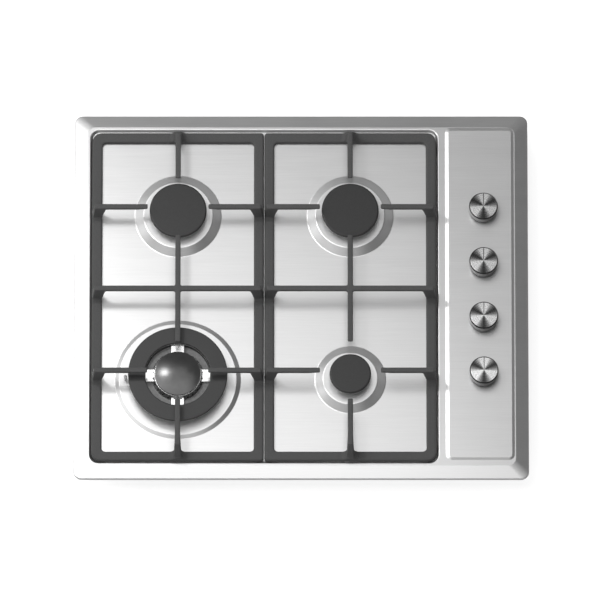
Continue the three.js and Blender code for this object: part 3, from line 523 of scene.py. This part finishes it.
def rimSeal():
    bm = bmesh.new()
    path = roundedPath(-seal["x"], seal["x"], -seal["y"], seal["y"], seal["corner"], arc=8)
    low, top = level["seat"], level["lip"] - seal["gap"]
    side = filleted([(-seal["width"], low, 0), (0, low, seal["soft"]), (0, top, seal["soft"]),
                     (-seal["width"], top, 0)], arc=2)
    first, last = sweep(bm, path, side)
    bmesh.ops.bridge_loops(bm, edges=first + last)
    piece("rim_seal_foam", bm, looks["foam"], nodes=["rim_seal"], slot="seal_rubber")


def bottomTray():
    bm = bmesh.new()
    path = roundedPath(-tray["x"], tray["x"], -tray["y"], tray["y"], tray["corner"], arc=8)
    side = filleted([(0, tray["top"], 0), (0, 0, tray["foot"]), (-tray["flat"], 0, 0)], arc=5)
    foot = sweep(bm, path, side)[1]
    slotSide = [(0, 0), (-vent["fold"], vent["foldTop"]), (-vent["fold"], tray["sheet"])]
    slots = []
    for x in (plan["left"], plan["right"]):
        for n in (-1, 0, 1):
            y = vent["middle"] + n * vent["pitch"]
            hole = roundedPath(x - vent["half"], x + vent["half"], y - vent["width"],
                               y + vent["width"], vent["corner"], arc=6)
            slots.append(sweep(bm, hole, slotSide)[0])
    fill(bm, foot, *slots)
    pressed("bottom_tray_pan", bm, looks["zinc"], tray["sheet"], False, nodes=["bottom_tray"],
            slot="zinc_steel")


rimSeal()
bottomTray()
print("seal and tray made")


# Pan supports: the CAD castings with their edges and fillets worn round, on rubber feet

support = {"voxel": 1.1, "passes": 4, "middle": -2.25, "halfX": 113.0, "halfY": 229.5, "rail": 12.0,
           "outer": 1.5, "inner": 0.6, "front": 1.0, "rear": 2.0}
pad = {"radius": 4.6, "low": 0.3, "top": 2.2, "x": 106.5, "y": 209.5}


def fuller(bm, side):
    # Widens a support's four rails outwards, which makes up for what wearing takes off
    for v in bm.verts:
        for n, middle, half, low, high in (
                (0, plan[side], support["halfX"], "outer", "inner"),
                (1, support["middle"], support["halfY"], "front", "rear")):
            if n == 0 and side == "right":
                low, high = high, low
            reach = v.co[n] - middle
            share = max(0.0, (abs(reach) - half + support["rail"]) / support["rail"])
            v.co[n] += share * (support[high] if reach > 0 else -support[low])


def panSupport(side):
    name = "pan_support_" + side
    source = bpy.data.objects[name]
    bm = bmesh.new()
    bm.from_mesh(source.data)
    bmesh.ops.transform(bm, matrix=source.matrix_world, verts=bm.verts)
    bmesh.ops.remove_doubles(bm, verts=bm.verts, dist=1e-6)
    bmesh.ops.scale(bm, verts=bm.verts, vec=(1 / mm,) * 3)
    fuller(bm, side)
    obj = piece(name + "_casting", bm, looks["iron"], body="support_" + side, nodes=[name],
                slot="cast_iron", smooth=181, weighted=False)
    remesh = obj.modifiers.new("casting", "REMESH")
    remesh.mode = "VOXEL"
    remesh.voxel_size = support["voxel"] * mm
    remesh.use_smooth_shade = True
    soften = obj.modifiers.new("soften", "SMOOTH")
    soften.factor = 0.5
    soften.iterations = support["passes"]


def supportFeet(side):
    profile = filleted([(0, pad["low"], 0), (pad["radius"], pad["low"], 0.5),
                        (pad["radius"], pad["top"], 0.3), (0, pad["top"], 0)], arc=3)
    for n, (x, y) in enumerate([(-1, -1), (1, -1), (1, 1), (-1, 1)], 1):
        place = (plan[side] + x * pad["x"], support["middle"] + y * pad["y"], level["floor"])
        piece("pan_support_%s_foot_%d" % (side, n), lathed(profile, 32), looks["rubber"],
              body="support_" + side, slot="seal_rubber", at=place)


for side in ("left", "right"):
    panSupport(side)
    supportFeet(side)
print("pan supports made")


# Burners, drawn about their axes with height 0 at the well floor

caps = {
    "medium": {"radius": 37.7, "rise": 25.6, "rib": 31.2},
    "small": {"radius": 27.4, "rise": 26.0, "rib": 21.4},
}
cap = {"side": 4.3, "ribWidth": 2, "ribDepth": 2.2}


def centre(spot):
    return (spot["x"], spot["y"], level["floor"])


def burnerCap(name, spot):
    size = caps[spot["kind"]]
    radius, rise, rib = size["radius"], size["rise"], size["rib"]
    under = rise - cap["side"]
    inside, foot = rib - cap["ribWidth"], under - cap["ribDepth"]
    profile = filleted([
        (0, under, 0), (inside, under, 0.4), (inside, foot, 0.4), (rib, foot, 0.4), (rib, under, 0.3),
        (radius, under, 0.8), (radius, rise, 2.2), (0, rise, 0)], arc=6)
    piece("burner_cap_%s_lid" % name, lathed(profile, 128), looks["enamel"], body="cap_" + name,
          nodes=["burner_cap_" + name], slot="matt_enamel", at=centre(spot))


crowns = {
    "medium": {"radius": 34.3, "low": 12.7, "top": 21.0, "neck": 30.0, "ports": 28, "flange": 40.9},
    "small": {"radius": 24.5, "low": 14.3, "top": 21.4, "neck": 20.2, "ports": 20, "flange": 31.1},
    "large": {"radius": 62.0, "low": 10.5, "top": 20.2, "neck": 57.7, "ports": 48, "flange": 72.4},
}
crown = {"floor": 2.5, "wall": 2.8, "skirt": 2.0, "skirtDepth": 3.0, "neckInset": 3.3, "tube": 8,
         "tubeDrop": 7, "bore": 6}
port = {"steps": 4, "low": 2.5, "top": 0.6, "edge": 0.12, "depth": 1.2}


def ports(bm, size):
    # Short flame slots pushed into the top band of a crown's side
    steps = size["ports"] * port["steps"]
    chosen = []
    for f in bm.faces:
        middle = f.calc_center_median()
        onSide = abs(f.normal.z) < 0.3 and abs(math.hypot(*middle.xy) - size["radius"]) < 0.2
        if onSide and size["low"] + port["low"] < middle.z < size["top"] - port["top"]:
            n = int((math.atan2(middle.y, middle.x) / (2 * math.pi) % 1) * steps)
            if n % port["steps"] == 1:
                chosen.append(f)
    bmesh.ops.inset_individual(bm, faces=chosen, thickness=port["edge"], depth=0)
    for f in chosen:
        middle = f.calc_center_median()
        inward = -Vector((middle.x, middle.y, 0)).normalized()
        bmesh.ops.translate(bm, verts=f.verts, vec=inward * port["depth"])


def crownSkirt(size):
    # The underside of a crown: its burner tube, and the skirt that drops inside the neck
    low, tube = size["low"], size["low"] - crown["tubeDrop"]
    skirt = size["neck"] - crown["neckInset"]
    inside, foot = skirt - crown["skirt"], low - crown["skirtDepth"]
    radius, top = size["radius"], size["top"]
    return [(crown["bore"], tube, 0), (crown["tube"], tube, 0), (crown["tube"], low, 0),
            (inside, low, 0), (inside, foot, 0), (skirt, foot, 0), (skirt, low, 0),
            (radius, low, 0.7), (radius, low + crown["floor"], 0), (radius, top, 0.5),
            (radius - crown["wall"], top, 0.4)]


def burnerCrown(name, spot):
    size = crowns[spot["kind"]]
    floor = size["low"] + crown["floor"]
    profile = filleted(crownSkirt(size) + [(size["radius"] - crown["wall"], floor, 0.6),
                                           (crown["bore"], floor, 0)], arc=3)
    bm = lathed(profile, size["ports"] * port["steps"], ring=True)
    ports(bm, size)
    piece("burner_crown_%s_ring" % name, bm, looks["bright"], body="crown_" + name,
          nodes=["burner_crown_" + name], slot="bright_aluminium", at=centre(spot))


cup = {"inset": 4, "wall": 3, "boss": 1.3, "gap": 0.3, "well": 6, "pipe": 7, "inlet": 6, "inletOut": 5}


def burnerCup(name, spot):
    size = crowns[spot["kind"]]
    radius, neck, wall = size["neck"] - cup["inset"], size["neck"], cup["wall"]
    top = bosses[spot["kind"]]["rise"] - cup["boss"]
    under, rim = top - wall, size["low"] - cup["gap"]
    pipe = level["pipes"] - level["floor"]
    low, high = pipe - cup["pipe"], pipe + cup["pipe"]
    profile = filleted([
        (0, low, 0), (radius, low, 1.5), (radius, under, 0), (size["flange"], under, 0),
        (size["flange"], top, 0.5), (neck, top, 0), (neck, rim, 0.6), (neck - wall, rim, 0.4),
        (neck - wall, under, 0), (radius - wall, top - cup["well"], 0), (radius - wall, high, 1.0),
        (0, high, 0)], arc=3)
    bm = lathed(profile, 96)
    reach = radius + cup["inletOut"]
    branch = bmesh.ops.create_cone(bm, cap_ends=True, segments=24, radius1=cup["inlet"],
                                   radius2=cup["inlet"], depth=reach)["verts"]
    bmesh.ops.rotate(bm, verts=branch, cent=(0, 0, 0), matrix=Matrix.Rotation(math.pi / 2, 3, "Y"))
    bmesh.ops.translate(bm, verts=branch, vec=(reach / 2, 0, pipe))
    piece("burner_cup_%s_body" % name, bm, looks["cast"], nodes=["burner_cup_" + name],
          slot="cast_aluminium", at=centre(spot))


sparks = {
    "medium": {"out": 37.5, "turn": 90, "top": 19.1},
    "small": {"out": 27.7, "turn": 90, "top": 19.5},
    "large": {"out": 69.0, "turn": 180, "top": 18.3},
}
spark = {"drop": 4.6, "sleeve": 2.2, "sleeveDrop": 9, "collar": 3.4, "collarLong": 3.4, "bare": 3.4,
         "pin": 0.8, "pinDrop": 18}


def sparkElectrode(name, spot):
    # A steel pin in a ceramic sleeve with a collar under the cup's flange
    size = sparks[spot["kind"]]
    angle = math.radians(size["turn"])
    place = (spot["x"] + size["out"] * math.cos(angle), spot["y"] + size["out"] * math.sin(angle),
             level["floor"])
    collar = bosses[spot["kind"]]["rise"] - spark["drop"]
    low, foot = collar - spark["sleeveDrop"], collar - spark["collarLong"]
    thin, wide, end = spark["sleeve"], spark["collar"], size["top"] - spark["bare"]
    sleeve = filleted([(0, low, 0), (thin, low, 0.3), (thin, foot, 0), (wide, foot, 0.4),
                       (wide, collar, 0.4), (thin, collar, 0), (thin, end, 0.8), (0, end, 0)], arc=3)
    piece("spark_electrode_%s_sleeve" % name, lathed(sleeve, 24), looks["ceramic"],
          nodes=["spark_electrode_" + name], slot="white_ceramic", at=place)
    tail = collar - spark["pinDrop"]
    pin = filleted([(0, tail, 0), (spark["pin"], tail, 0.2), (spark["pin"], size["top"], 0.3),
                    (0, size["top"], 0)], arc=3)
    piece("spark_electrode_%s_pin" % name, lathed(pin, 12), looks["zinc"], slot="zinc_steel", at=place)


# The large burner's inner crown, which four bridges join to the outer one
inner = {"hole": 43, "holeWall": 2.8, "hub": 34, "hubTop": 31, "hubWall": 2.8, "shoulder": 0.8,
         "shoulderTop": 20.4, "rise": 23.0, "bridge": (14.8, 17.5, 7.2), "bridgeOut": 38.4,
         "bridgeZ": 14.1, "bridgeSoft": 0.8}


def largeCrown(name, spot):
    size = crowns["large"]
    floor, top = size["low"] + crown["floor"], size["top"]
    hole, hub, rise = inner["hole"], inner["hubTop"], inner["rise"]
    wall, bore = hole + inner["holeWall"], hub - inner["hubWall"]
    profile = filleted(crownSkirt(size) + [
        (size["radius"] - crown["wall"], floor, 0.6), (wall, floor, 0.6), (wall, top, 0.3),
        (hole, top, 0.3), (hole, floor, 1.0), (inner["hub"], floor, 1.0),
        (hub + inner["shoulder"], inner["shoulderTop"], 0), (hub, rise, 0.4), (bore, rise, 0.3),
        (bore, floor, 0.6), (crown["bore"], floor, 0)], arc=3)
    bm = lathed(profile, size["ports"] * port["steps"], ring=True)
    ports(bm, size)
    for n in range(4):
        turn = n * math.pi / 2
        reach = Matrix.Rotation(turn, 3, "Z") @ Vector((inner["bridgeOut"], 0, inner["bridgeZ"]))
        slab(bm, inner["bridge"], reach, inner["bridgeSoft"], 3, turn)
    piece("burner_crown_%s_ring" % name, bm, looks["bright"], body="crown_" + name,
          nodes=["burner_crown_" + name], slot="bright_aluminium", at=centre(spot))


liner = {"top": 20.0, "skin": 0.25, "lift": 0.1, "wallGap": 0.15, "hubGap": 0.3}
flame = {"count": 24, "radius": 1.1, "depth": 1.2, "inset": 1.1, "rise": 4.2, "lean": 70}


def crownLiner(name, spot):
    # A dark sheet in the well between the two crowns, painted shade where the deep well lies in shadow,
    # and black dots round the inner one, painted shade standing in for its small flame holes
    floor = crowns["large"]["low"] + crown["floor"] + liner["lift"]
    wall, hub = inner["hole"] - liner["wallGap"], inner["hub"] + liner["hubGap"]
    skin, top = liner["skin"], liner["top"]
    profile = filleted([(wall, top, 0), (wall, floor, 1.0), (hub, floor, 0), (hub, floor + skin, 0),
                        (wall - skin, floor + skin, 0.9), (wall - skin, top, 0)], arc=3)
    piece("burner_crown_%s_liner" % name, lathed(profile, 128, ring=True), looks["shade"],
          body="crown_" + name, slot="cast_aluminium", at=centre(spot))
    # Black dots that paint the shade inside the inner crown's flame holes
    bm = bmesh.new()
    lean = Matrix.Rotation(math.radians(flame["lean"]), 3, "Y")
    for n in range(flame["count"]):
        around = Matrix.Rotation(2 * math.pi * (n + 0.5) / flame["count"], 3, "Z")
        spoke = around @ Vector((inner["hub"] - flame["inset"], 0, floor + flame["rise"]))
        dot = bmesh.ops.create_cone(bm, cap_ends=True, segments=12, radius1=flame["radius"],
                                    radius2=flame["radius"], depth=flame["depth"])["verts"]
        bmesh.ops.rotate(bm, verts=dot, cent=(0, 0, 0), matrix=lean)
        bmesh.ops.rotate(bm, verts=dot, cent=(0, 0, 0), matrix=around)
        bmesh.ops.translate(bm, verts=dot, vec=spoke)
    piece("burner_crown_%s_ports" % name, bm, looks["black"], body="crown_" + name,
          slot="cast_aluminium", at=centre(spot))


ringLid = {"under": 20.5, "top": 23.5, "radius": 65.5, "ribIn": 56.7, "ribOut": 58.7, "ribFoot": 18.3}


def ringCap(spot):
    hole, radius, under, top = inner["hole"], ringLid["radius"], ringLid["under"], ringLid["top"]
    ribIn, ribOut, foot = ringLid["ribIn"], ringLid["ribOut"], ringLid["ribFoot"]
    ring = filleted([
        (hole, under, 0.3), (ribIn, under, 0), (ribIn, foot, 0.3), (ribOut, foot, 0.3),
        (ribOut, under, 0), (radius, under, 0.7), (radius, top, 1.3), (hole, top, 1.3)], arc=4)
    piece("burner_ring_cap_lid", lathed(ring, 160, ring=True), looks["enamel"], body="ring_cap",
          nodes=["burner_ring_cap"], slot="matt_enamel", at=centre(spot))


domedLid = {"radius": 30.5, "reach": 30.0, "rim": 25.5, "rimLift": 0.1, "swell": 3.9, "rise": 4.0,
            "under": 23.3, "ribIn": 26, "ribOut": 27.9, "ribFoot": 21.1}


def centreCap(spot):
    radius, reach, rim = domedLid["radius"], domedLid["reach"], domedLid["rim"]
    ribIn, ribOut, foot = domedLid["ribIn"], domedLid["ribOut"], domedLid["ribFoot"]
    low = domedLid["under"]
    under = filleted([(0, low, 0), (ribIn, low, 0), (ribIn, foot, 0.3), (ribOut, foot, 0.3),
                      (ribOut, low, 0), (radius, low, 0.6), (radius, rim, 0.7),
                      (reach, rim + domedLid["rimLift"], 0)], arc=3)
    angles = [math.radians(84 - 7 * n) for n in range(12)]
    dome = [(reach * math.sin(a), rim + domedLid["swell"] * math.cos(a) ** 2) for a in angles]
    piece("burner_centre_cap_dome", lathed(under + dome + [(0, rim + domedLid["rise"])], 128),
          looks["gloss"], body="centre_cap", nodes=["burner_centre_cap"], slot="gloss_enamel",
          at=centre(spot))


for name, spot in burners.items():
    burnerCup(name, spot)
    sparkElectrode(name, spot)
    if spot["kind"] == "large":
        largeCrown(name, spot)
        crownLiner(name, spot)
        ringCap(spot)
        centreCap(spot)
    else:
        burnerCrown(name, spot)
        burnerCap(name, spot)
print("burners made")


# Knobs

knob = {"base": 17.9, "top": 19.0, "height": 19.5, "stand": 4.6, "hub": 7.5, "inside": 16.3,
        "recess": 16.5, "rim": 1.2, "chamfer": 0.9, "chamferDrop": 0.15, "lip": 1.5, "lipDrop": 0.35,
        "face": 1.4, "faceDrop": 0.9, "faceBore": 0.1}
pointer = {"size": (0.9, 16.0, 0.3), "inset": 1.7, "proud": 0.04}
collar = {"bore": 8.1, "stem": 9.1, "radius": 16, "low": -1.3, "seat": 0.3, "top": 5.8}


def knobBody(n, place):
    top, height, inside, stand = knob["top"], knob["height"], knob["inside"], knob["stand"]
    side = filleted([
        (knob["hub"], knob["recess"], 0), (inside, knob["recess"], 0.6), (inside, stand, 0.3),
        (knob["base"], stand, 0.5), (top, height - knob["rim"], 0.3),
        (top - knob["chamfer"], height - knob["chamferDrop"], 0.2),
        (top - knob["lip"], height - knob["lipDrop"], 0)], arc=3)
    piece("knob_%d_side" % n, lathed(side, 128), looks["knobSideShade"], body="knob_%d" % n,
          nodes=["knob_%d" % n], slot="turned_steel", at=place, wrap=turnedUv)
    edge = top - knob["face"]
    face = filleted([(edge, height - knob["faceDrop"], 0), (edge, height, 0.3),
                     (knob["faceBore"], height, 0), (0, height, 0)], arc=3)
    piece("knob_%d_face" % n, lathed(face, 128), looks["knobTop"], body="knob_%d" % n,
          slot="turned_steel", at=place, wrap=turnedUv)


def knobPointer(n, place):
    # A dark strip a little proud of the face: painted shade standing in for the pointer groove
    bm = bmesh.new()
    wide, long, deep = pointer["size"]
    middle = (0, knob["top"] - pointer["inset"] - long / 2, knob["height"] + pointer["proud"] - deep / 2)
    slab(bm, (wide, long, deep), middle)
    piece("knob_%d_pointer" % n, bm, looks["knobSideShade"], body="knob_%d" % n, slot="turned_steel",
          at=place, wrap=turnedUv)


def knobCollar(n, place):
    bore, stem, radius = collar["bore"], collar["stem"], collar["radius"]
    low, seat, top = collar["low"], collar["seat"], collar["top"]
    ring = filleted([(bore, low, 0), (stem, low, 0), (stem, seat, 0), (radius, seat, 0.4),
                     (radius, top, 0.6), (bore, top, 0.4)], arc=3)
    piece("knob_collar_%d_ring" % n, lathed(ring, 96, ring=True), looks["black"],
          nodes=["knob_collar_%d" % n], slot="black_plastic", at=place)


for n, y in enumerate(knobRows, 1):
    place = (plan["knobs"], y, level["panel"])
    knobBody(n, place)
    knobPointer(n, place)
    knobCollar(n, place)
print("knobs made")


# Clamps, gas inlet and cable gland on the tray's walls

clamp = {"gap": 0.3, "thick": 1.5, "low": 6.5, "height": 30, "reach": 18, "half": 9.8, "middle": 150}
screw = {"z": 23, "radius": 4.0, "head": 2.5, "socket": 1.6, "socketFoot": 1.0, "sunk": 0.1}


def clampScrew(wall):
    # A button head with a round socket, standing on a wall at this distance
    socket, foot, radius, head = screw["socket"], screw["socketFoot"], screw["radius"], screw["head"]
    profile = filleted([(0, foot, 0), (socket, foot, 0), (socket, head, 0.2), (radius, head, 0.8),
                        (radius, 0, 0), (0, 0, 0)], arc=3)
    return layDown(lathed(profile, 32), (0, wall - screw["sunk"], screw["z"]))


def fixingClamp(n, sideX, sideY):
    near, far = clamp["gap"], clamp["gap"] + clamp["thick"]
    low, top = clamp["low"], clamp["low"] + clamp["height"]
    reach = clamp["gap"] + clamp["reach"]
    section = filleted([(near, top, 0.4), (near, low, 1.8), (reach, low, 0.4),
                        (reach, low + clamp["thick"], 0.4), (far, low + clamp["thick"], 0.5),
                        (far, top, 0.4)], arc=3)
    bm = strip(section, clamp["half"])
    head = clampScrew(far)
    mesh = bpy.data.meshes.new("screw")
    head.to_mesh(mesh)
    head.free()
    bm.from_mesh(mesh)
    bpy.data.meshes.remove(mesh)
    bmesh.ops.recalc_face_normals(bm, faces=bm.faces)
    facing = Matrix.Rotation(-sideX * math.pi / 2, 3, "Z")
    bmesh.ops.rotate(bm, verts=bm.verts, cent=(0, 0, 0), matrix=facing)
    piece("fixing_clamp_%d_bracket" % n, bm, looks["zinc"], nodes=["fixing_clamp_%d" % n],
          slot="zinc_steel", at=(sideX * tray["x"], sideY * clamp["middle"], 0))


inlet = {"start": 200.4, "wall": 231.6, "end": 250, "z": 13, "radius": 10, "bore": 5, "nut": 12,
         "nutRadius": 10.4, "nutBore": 6, "pitch": 1.8, "plain": 1, "thread": 0.9, "tip": 1.2}


def gasInlet():
    radius, bore, pitch = inlet["radius"], inlet["bore"], inlet["pitch"]
    length, wall = inlet["end"] - inlet["start"], inlet["wall"] - inlet["start"]
    outside = [(radius, 0), (radius, wall)]
    z = wall + inlet["plain"]
    while z < length - pitch:
        outside += [(radius - inlet["thread"], z), (radius, z + pitch / 2)]
        z += pitch
    end = [(radius - inlet["tip"], length), (bore, length)]
    bm = lathed([(bore, 0)] + outside + end, 64, ring=True)
    hollow, wide, long = inlet["nutBore"], inlet["nutRadius"], inlet["nut"]
    nut = filleted([(hollow, 0, 0), (wide, 0, 0.6), (wide, long, 0.6), (hollow, long, 0)], arc=2)
    lathe(bm, nut, 6, ring=True)
    layDown(bm, (plan["knobs"], inlet["start"], inlet["z"]))
    piece("gas_inlet_thread", bm, looks["brass"], nodes=["gas_inlet"], slot="brass", smooth=25)


gland = {"x": 171, "face": 231.3, "z": 24, "bore": 5, "nutRadius": 12, "nutBore": 6, "nutLow": 0.1,
         "nutTop": 6, "tail": 8.7, "tailLow": -8, "tailTop": 5, "dome": 10.2, "domeTop": 9.0,
         "tip": 7.4, "length": 12}


def supplyGland():
    hollow, wide, low, top = gland["nutBore"], gland["nutRadius"], gland["nutLow"], gland["nutTop"]
    nut = filleted([(hollow, low, 0), (wide, low, 0.5), (wide, top, 0.5), (hollow, top, 0)], arc=2)
    bm = lathed(nut, 6, ring=True)
    bore, tail, dome, end = gland["bore"], gland["tail"], gland["dome"], gland["length"]
    tailLow, tailTop = gland["tailLow"], gland["tailTop"]
    body = filleted([(bore, tailLow, 0), (tail, tailLow, 0.4), (tail, tailTop, 0), (dome, tailTop, 0),
                     (dome, gland["domeTop"], 1.6), (gland["tip"], end, 1.0), (bore, end, 0.6)], arc=4)
    lathe(bm, body, 64, ring=True)
    layDown(bm, (gland["x"], gland["face"], gland["z"]))
    piece("supply_gland_nut", bm, looks["black"], nodes=["supply_gland"], slot="black_plastic",
          smooth=25)


for n, (sideX, sideY) in enumerate([(-1, -1), (1, -1), (-1, 1), (1, 1)], 1):
    fixingClamp(n, sideX, sideY)
gasInlet()
supplyGland()
print("fittings made")


# Pieces carried over from the CAD, all inside the tray

carried = {
    "injector": "brass", "gas_pipe": "cast", "gas_rail": "zinc", "tap_body": "brass",
    "tap_plug": "brass", "tap_spindle": "zinc", "spark_generator": "black",
}
for obj in list(bpy.data.objects):
    key = next((k for k in carried if obj.name.startswith(k)), None)
    if key and obj.type == "MESH":
        obj.data.materials.clear()
        obj.data.materials.append(looks[carried[key]])


# Stage, light and camera

ground = {"size": 8, "tone": 0.85, "roughness": 0.9, "specular": 0.1, "glow": 0.75}


def stage():
    bm = bmesh.new()
    bmesh.ops.create_grid(bm, x_segments=1, y_segments=1, size=ground["size"])
    mesh = bpy.data.meshes.new("floor")
    bm.to_mesh(mesh)
    bm.free()
    floor = bpy.data.objects.new("floor", mesh)
    bpy.context.scene.collection.objects.link(floor)
    look, nodes, links, shader = newLook("floor_white")
    shader.inputs["Base Color"].default_value = (ground["tone"],) * 3 + (1,)
    shader.inputs["Roughness"].default_value = ground["roughness"]
    shader.inputs["Specular IOR Level"].default_value = ground["specular"]
    ray = nodes.new("ShaderNodeLightPath")
    shader.inputs["Emission Color"].default_value = (1, 1, 1, 1)
    links.new(maths(nodes, links, "MULTIPLY", ray.outputs["Is Camera Ray"], ground["glow"]),
              shader.inputs["Emission Strength"])
    mesh.materials.append(look)


# Soft patches of light in a dark surround. Each fades between two places along an axis
surround = 0.11
patches = [
    {"bright": 0.18, "right": (0.32, 0.10), "rear": (0.60, 0.34), "front": (-0.45, -0.15),
     "low": (0.1, 0.4)},
    {"bright": 0.85, "right": (-0.10, -0.36), "rear": (0.66, 0.45), "front": (-0.15, 0.15),
     "low": (0.15, 0.42)},
    {"bright": 0.7, "right": (0.36, 0.16), "rear": (0.22, 0.06), "front": (-0.24, -0.12),
     "low": (0.1, 0.4)},
    {"bright": 0.25, "right": (0.5, 0.2), "rear": (-0.3, -0.5), "front": (-1.2, -0.9),
     "low": (0.3, 0.6)},
    {"bright": 0.30, "right": (3.0, 2.0), "rear": (3.0, 2.0), "front": (-3.0, -2.0),
     "low": (0.68, 0.42)},
]


def skyTone(world):
    nodes, links = world.node_tree.nodes, world.node_tree.links
    where = nodes.new("ShaderNodeTexCoord")
    parts = nodes.new("ShaderNodeSeparateXYZ")
    links.new(where.outputs["Generated"], parts.inputs[0])
    sky = surround
    for patch in patches:
        glow = patch["bright"]
        for key, axis in (("right", "X"), ("rear", "Y"), ("front", "Y"), ("low", "Z")):
            fade = span(nodes, links, parts.outputs[axis], 0.0, 1.0, *patch[key], "SMOOTHSTEP")
            glow = maths(nodes, links, "MULTIPLY", fade, glow)
        sky = maths(nodes, links, "ADD", glow, sky)
    ray = nodes.new("ShaderNodeLightPath")
    mix = nodes.new("ShaderNodeMix")
    mix.data_type = "RGBA"
    links.new(ray.outputs["Is Camera Ray"], mix.inputs["Factor"])
    links.new(sky, mix.inputs["A"])
    mix.inputs["B"].default_value = (1, 1, 1, 1)
    back = next(n for n in nodes if n.type == "BACKGROUND")
    links.new(mix.outputs["Result"], back.inputs["Color"])
    back.inputs["Strength"].default_value = 1.0


lamps = [
    {"name": "soft_key", "at": (-0.45, -0.01, 1.3), "aim": (-0.45, -0.01, 0), "size": (1.10, 1.06),
     "power": 4.05},
    {"name": "side_key", "at": (0.20, -0.12, 1.3), "aim": (0.20, -0.12, 0), "size": (0.20, 0.84),
     "power": 0.60},
    {"name": "small_key", "at": (-0.58, 0.36, 1.32), "aim": (-0.16, -0.12, 0), "size": (0.165, 0.165),
     "power": 2.7},
]


def lamp(name, at, aim, size, power):
    data = bpy.data.lights.new(name, "AREA")
    data.shape = "RECTANGLE"
    data.size, data.size_y = size
    data.energy = power
    obj = bpy.data.objects.new(name, data)
    obj.location = at
    obj.rotation_euler = (Vector(at) - Vector(aim)).to_track_quat("Z", "Y").to_euler()
    bpy.context.scene.collection.objects.link(obj)


view = {"elevation": math.radians(70.0), "distance": 22.0, "width": 0.7929, "film": 36,
        "aim": Vector((-1.7, -4.5, 54)) * mm, "clip": (1.0, 60.0)}


def camera():
    data = bpy.data.cameras.new("camera")
    data.lens = view["film"] * view["distance"] / view["width"]
    data.clip_start, data.clip_end = view["clip"]
    obj = bpy.data.objects.new("camera", data)
    back = Vector((0, -math.cos(view["elevation"]), math.sin(view["elevation"])))
    obj.location = view["aim"] + back * view["distance"]
    obj.rotation_euler = back.to_track_quat("Z", "Y").to_euler()
    bpy.context.scene.collection.objects.link(obj)
    bpy.context.scene.camera = obj


scene = bpy.context.scene
scene.view_settings.view_transform = "Standard"
if scene.world is None:
    scene.world = bpy.data.worlds.new("world")
scene.world.use_nodes = True
stage()
skyTone(scene.world)
for settings in lamps:
    lamp(**settings)
camera()
print("stage made")
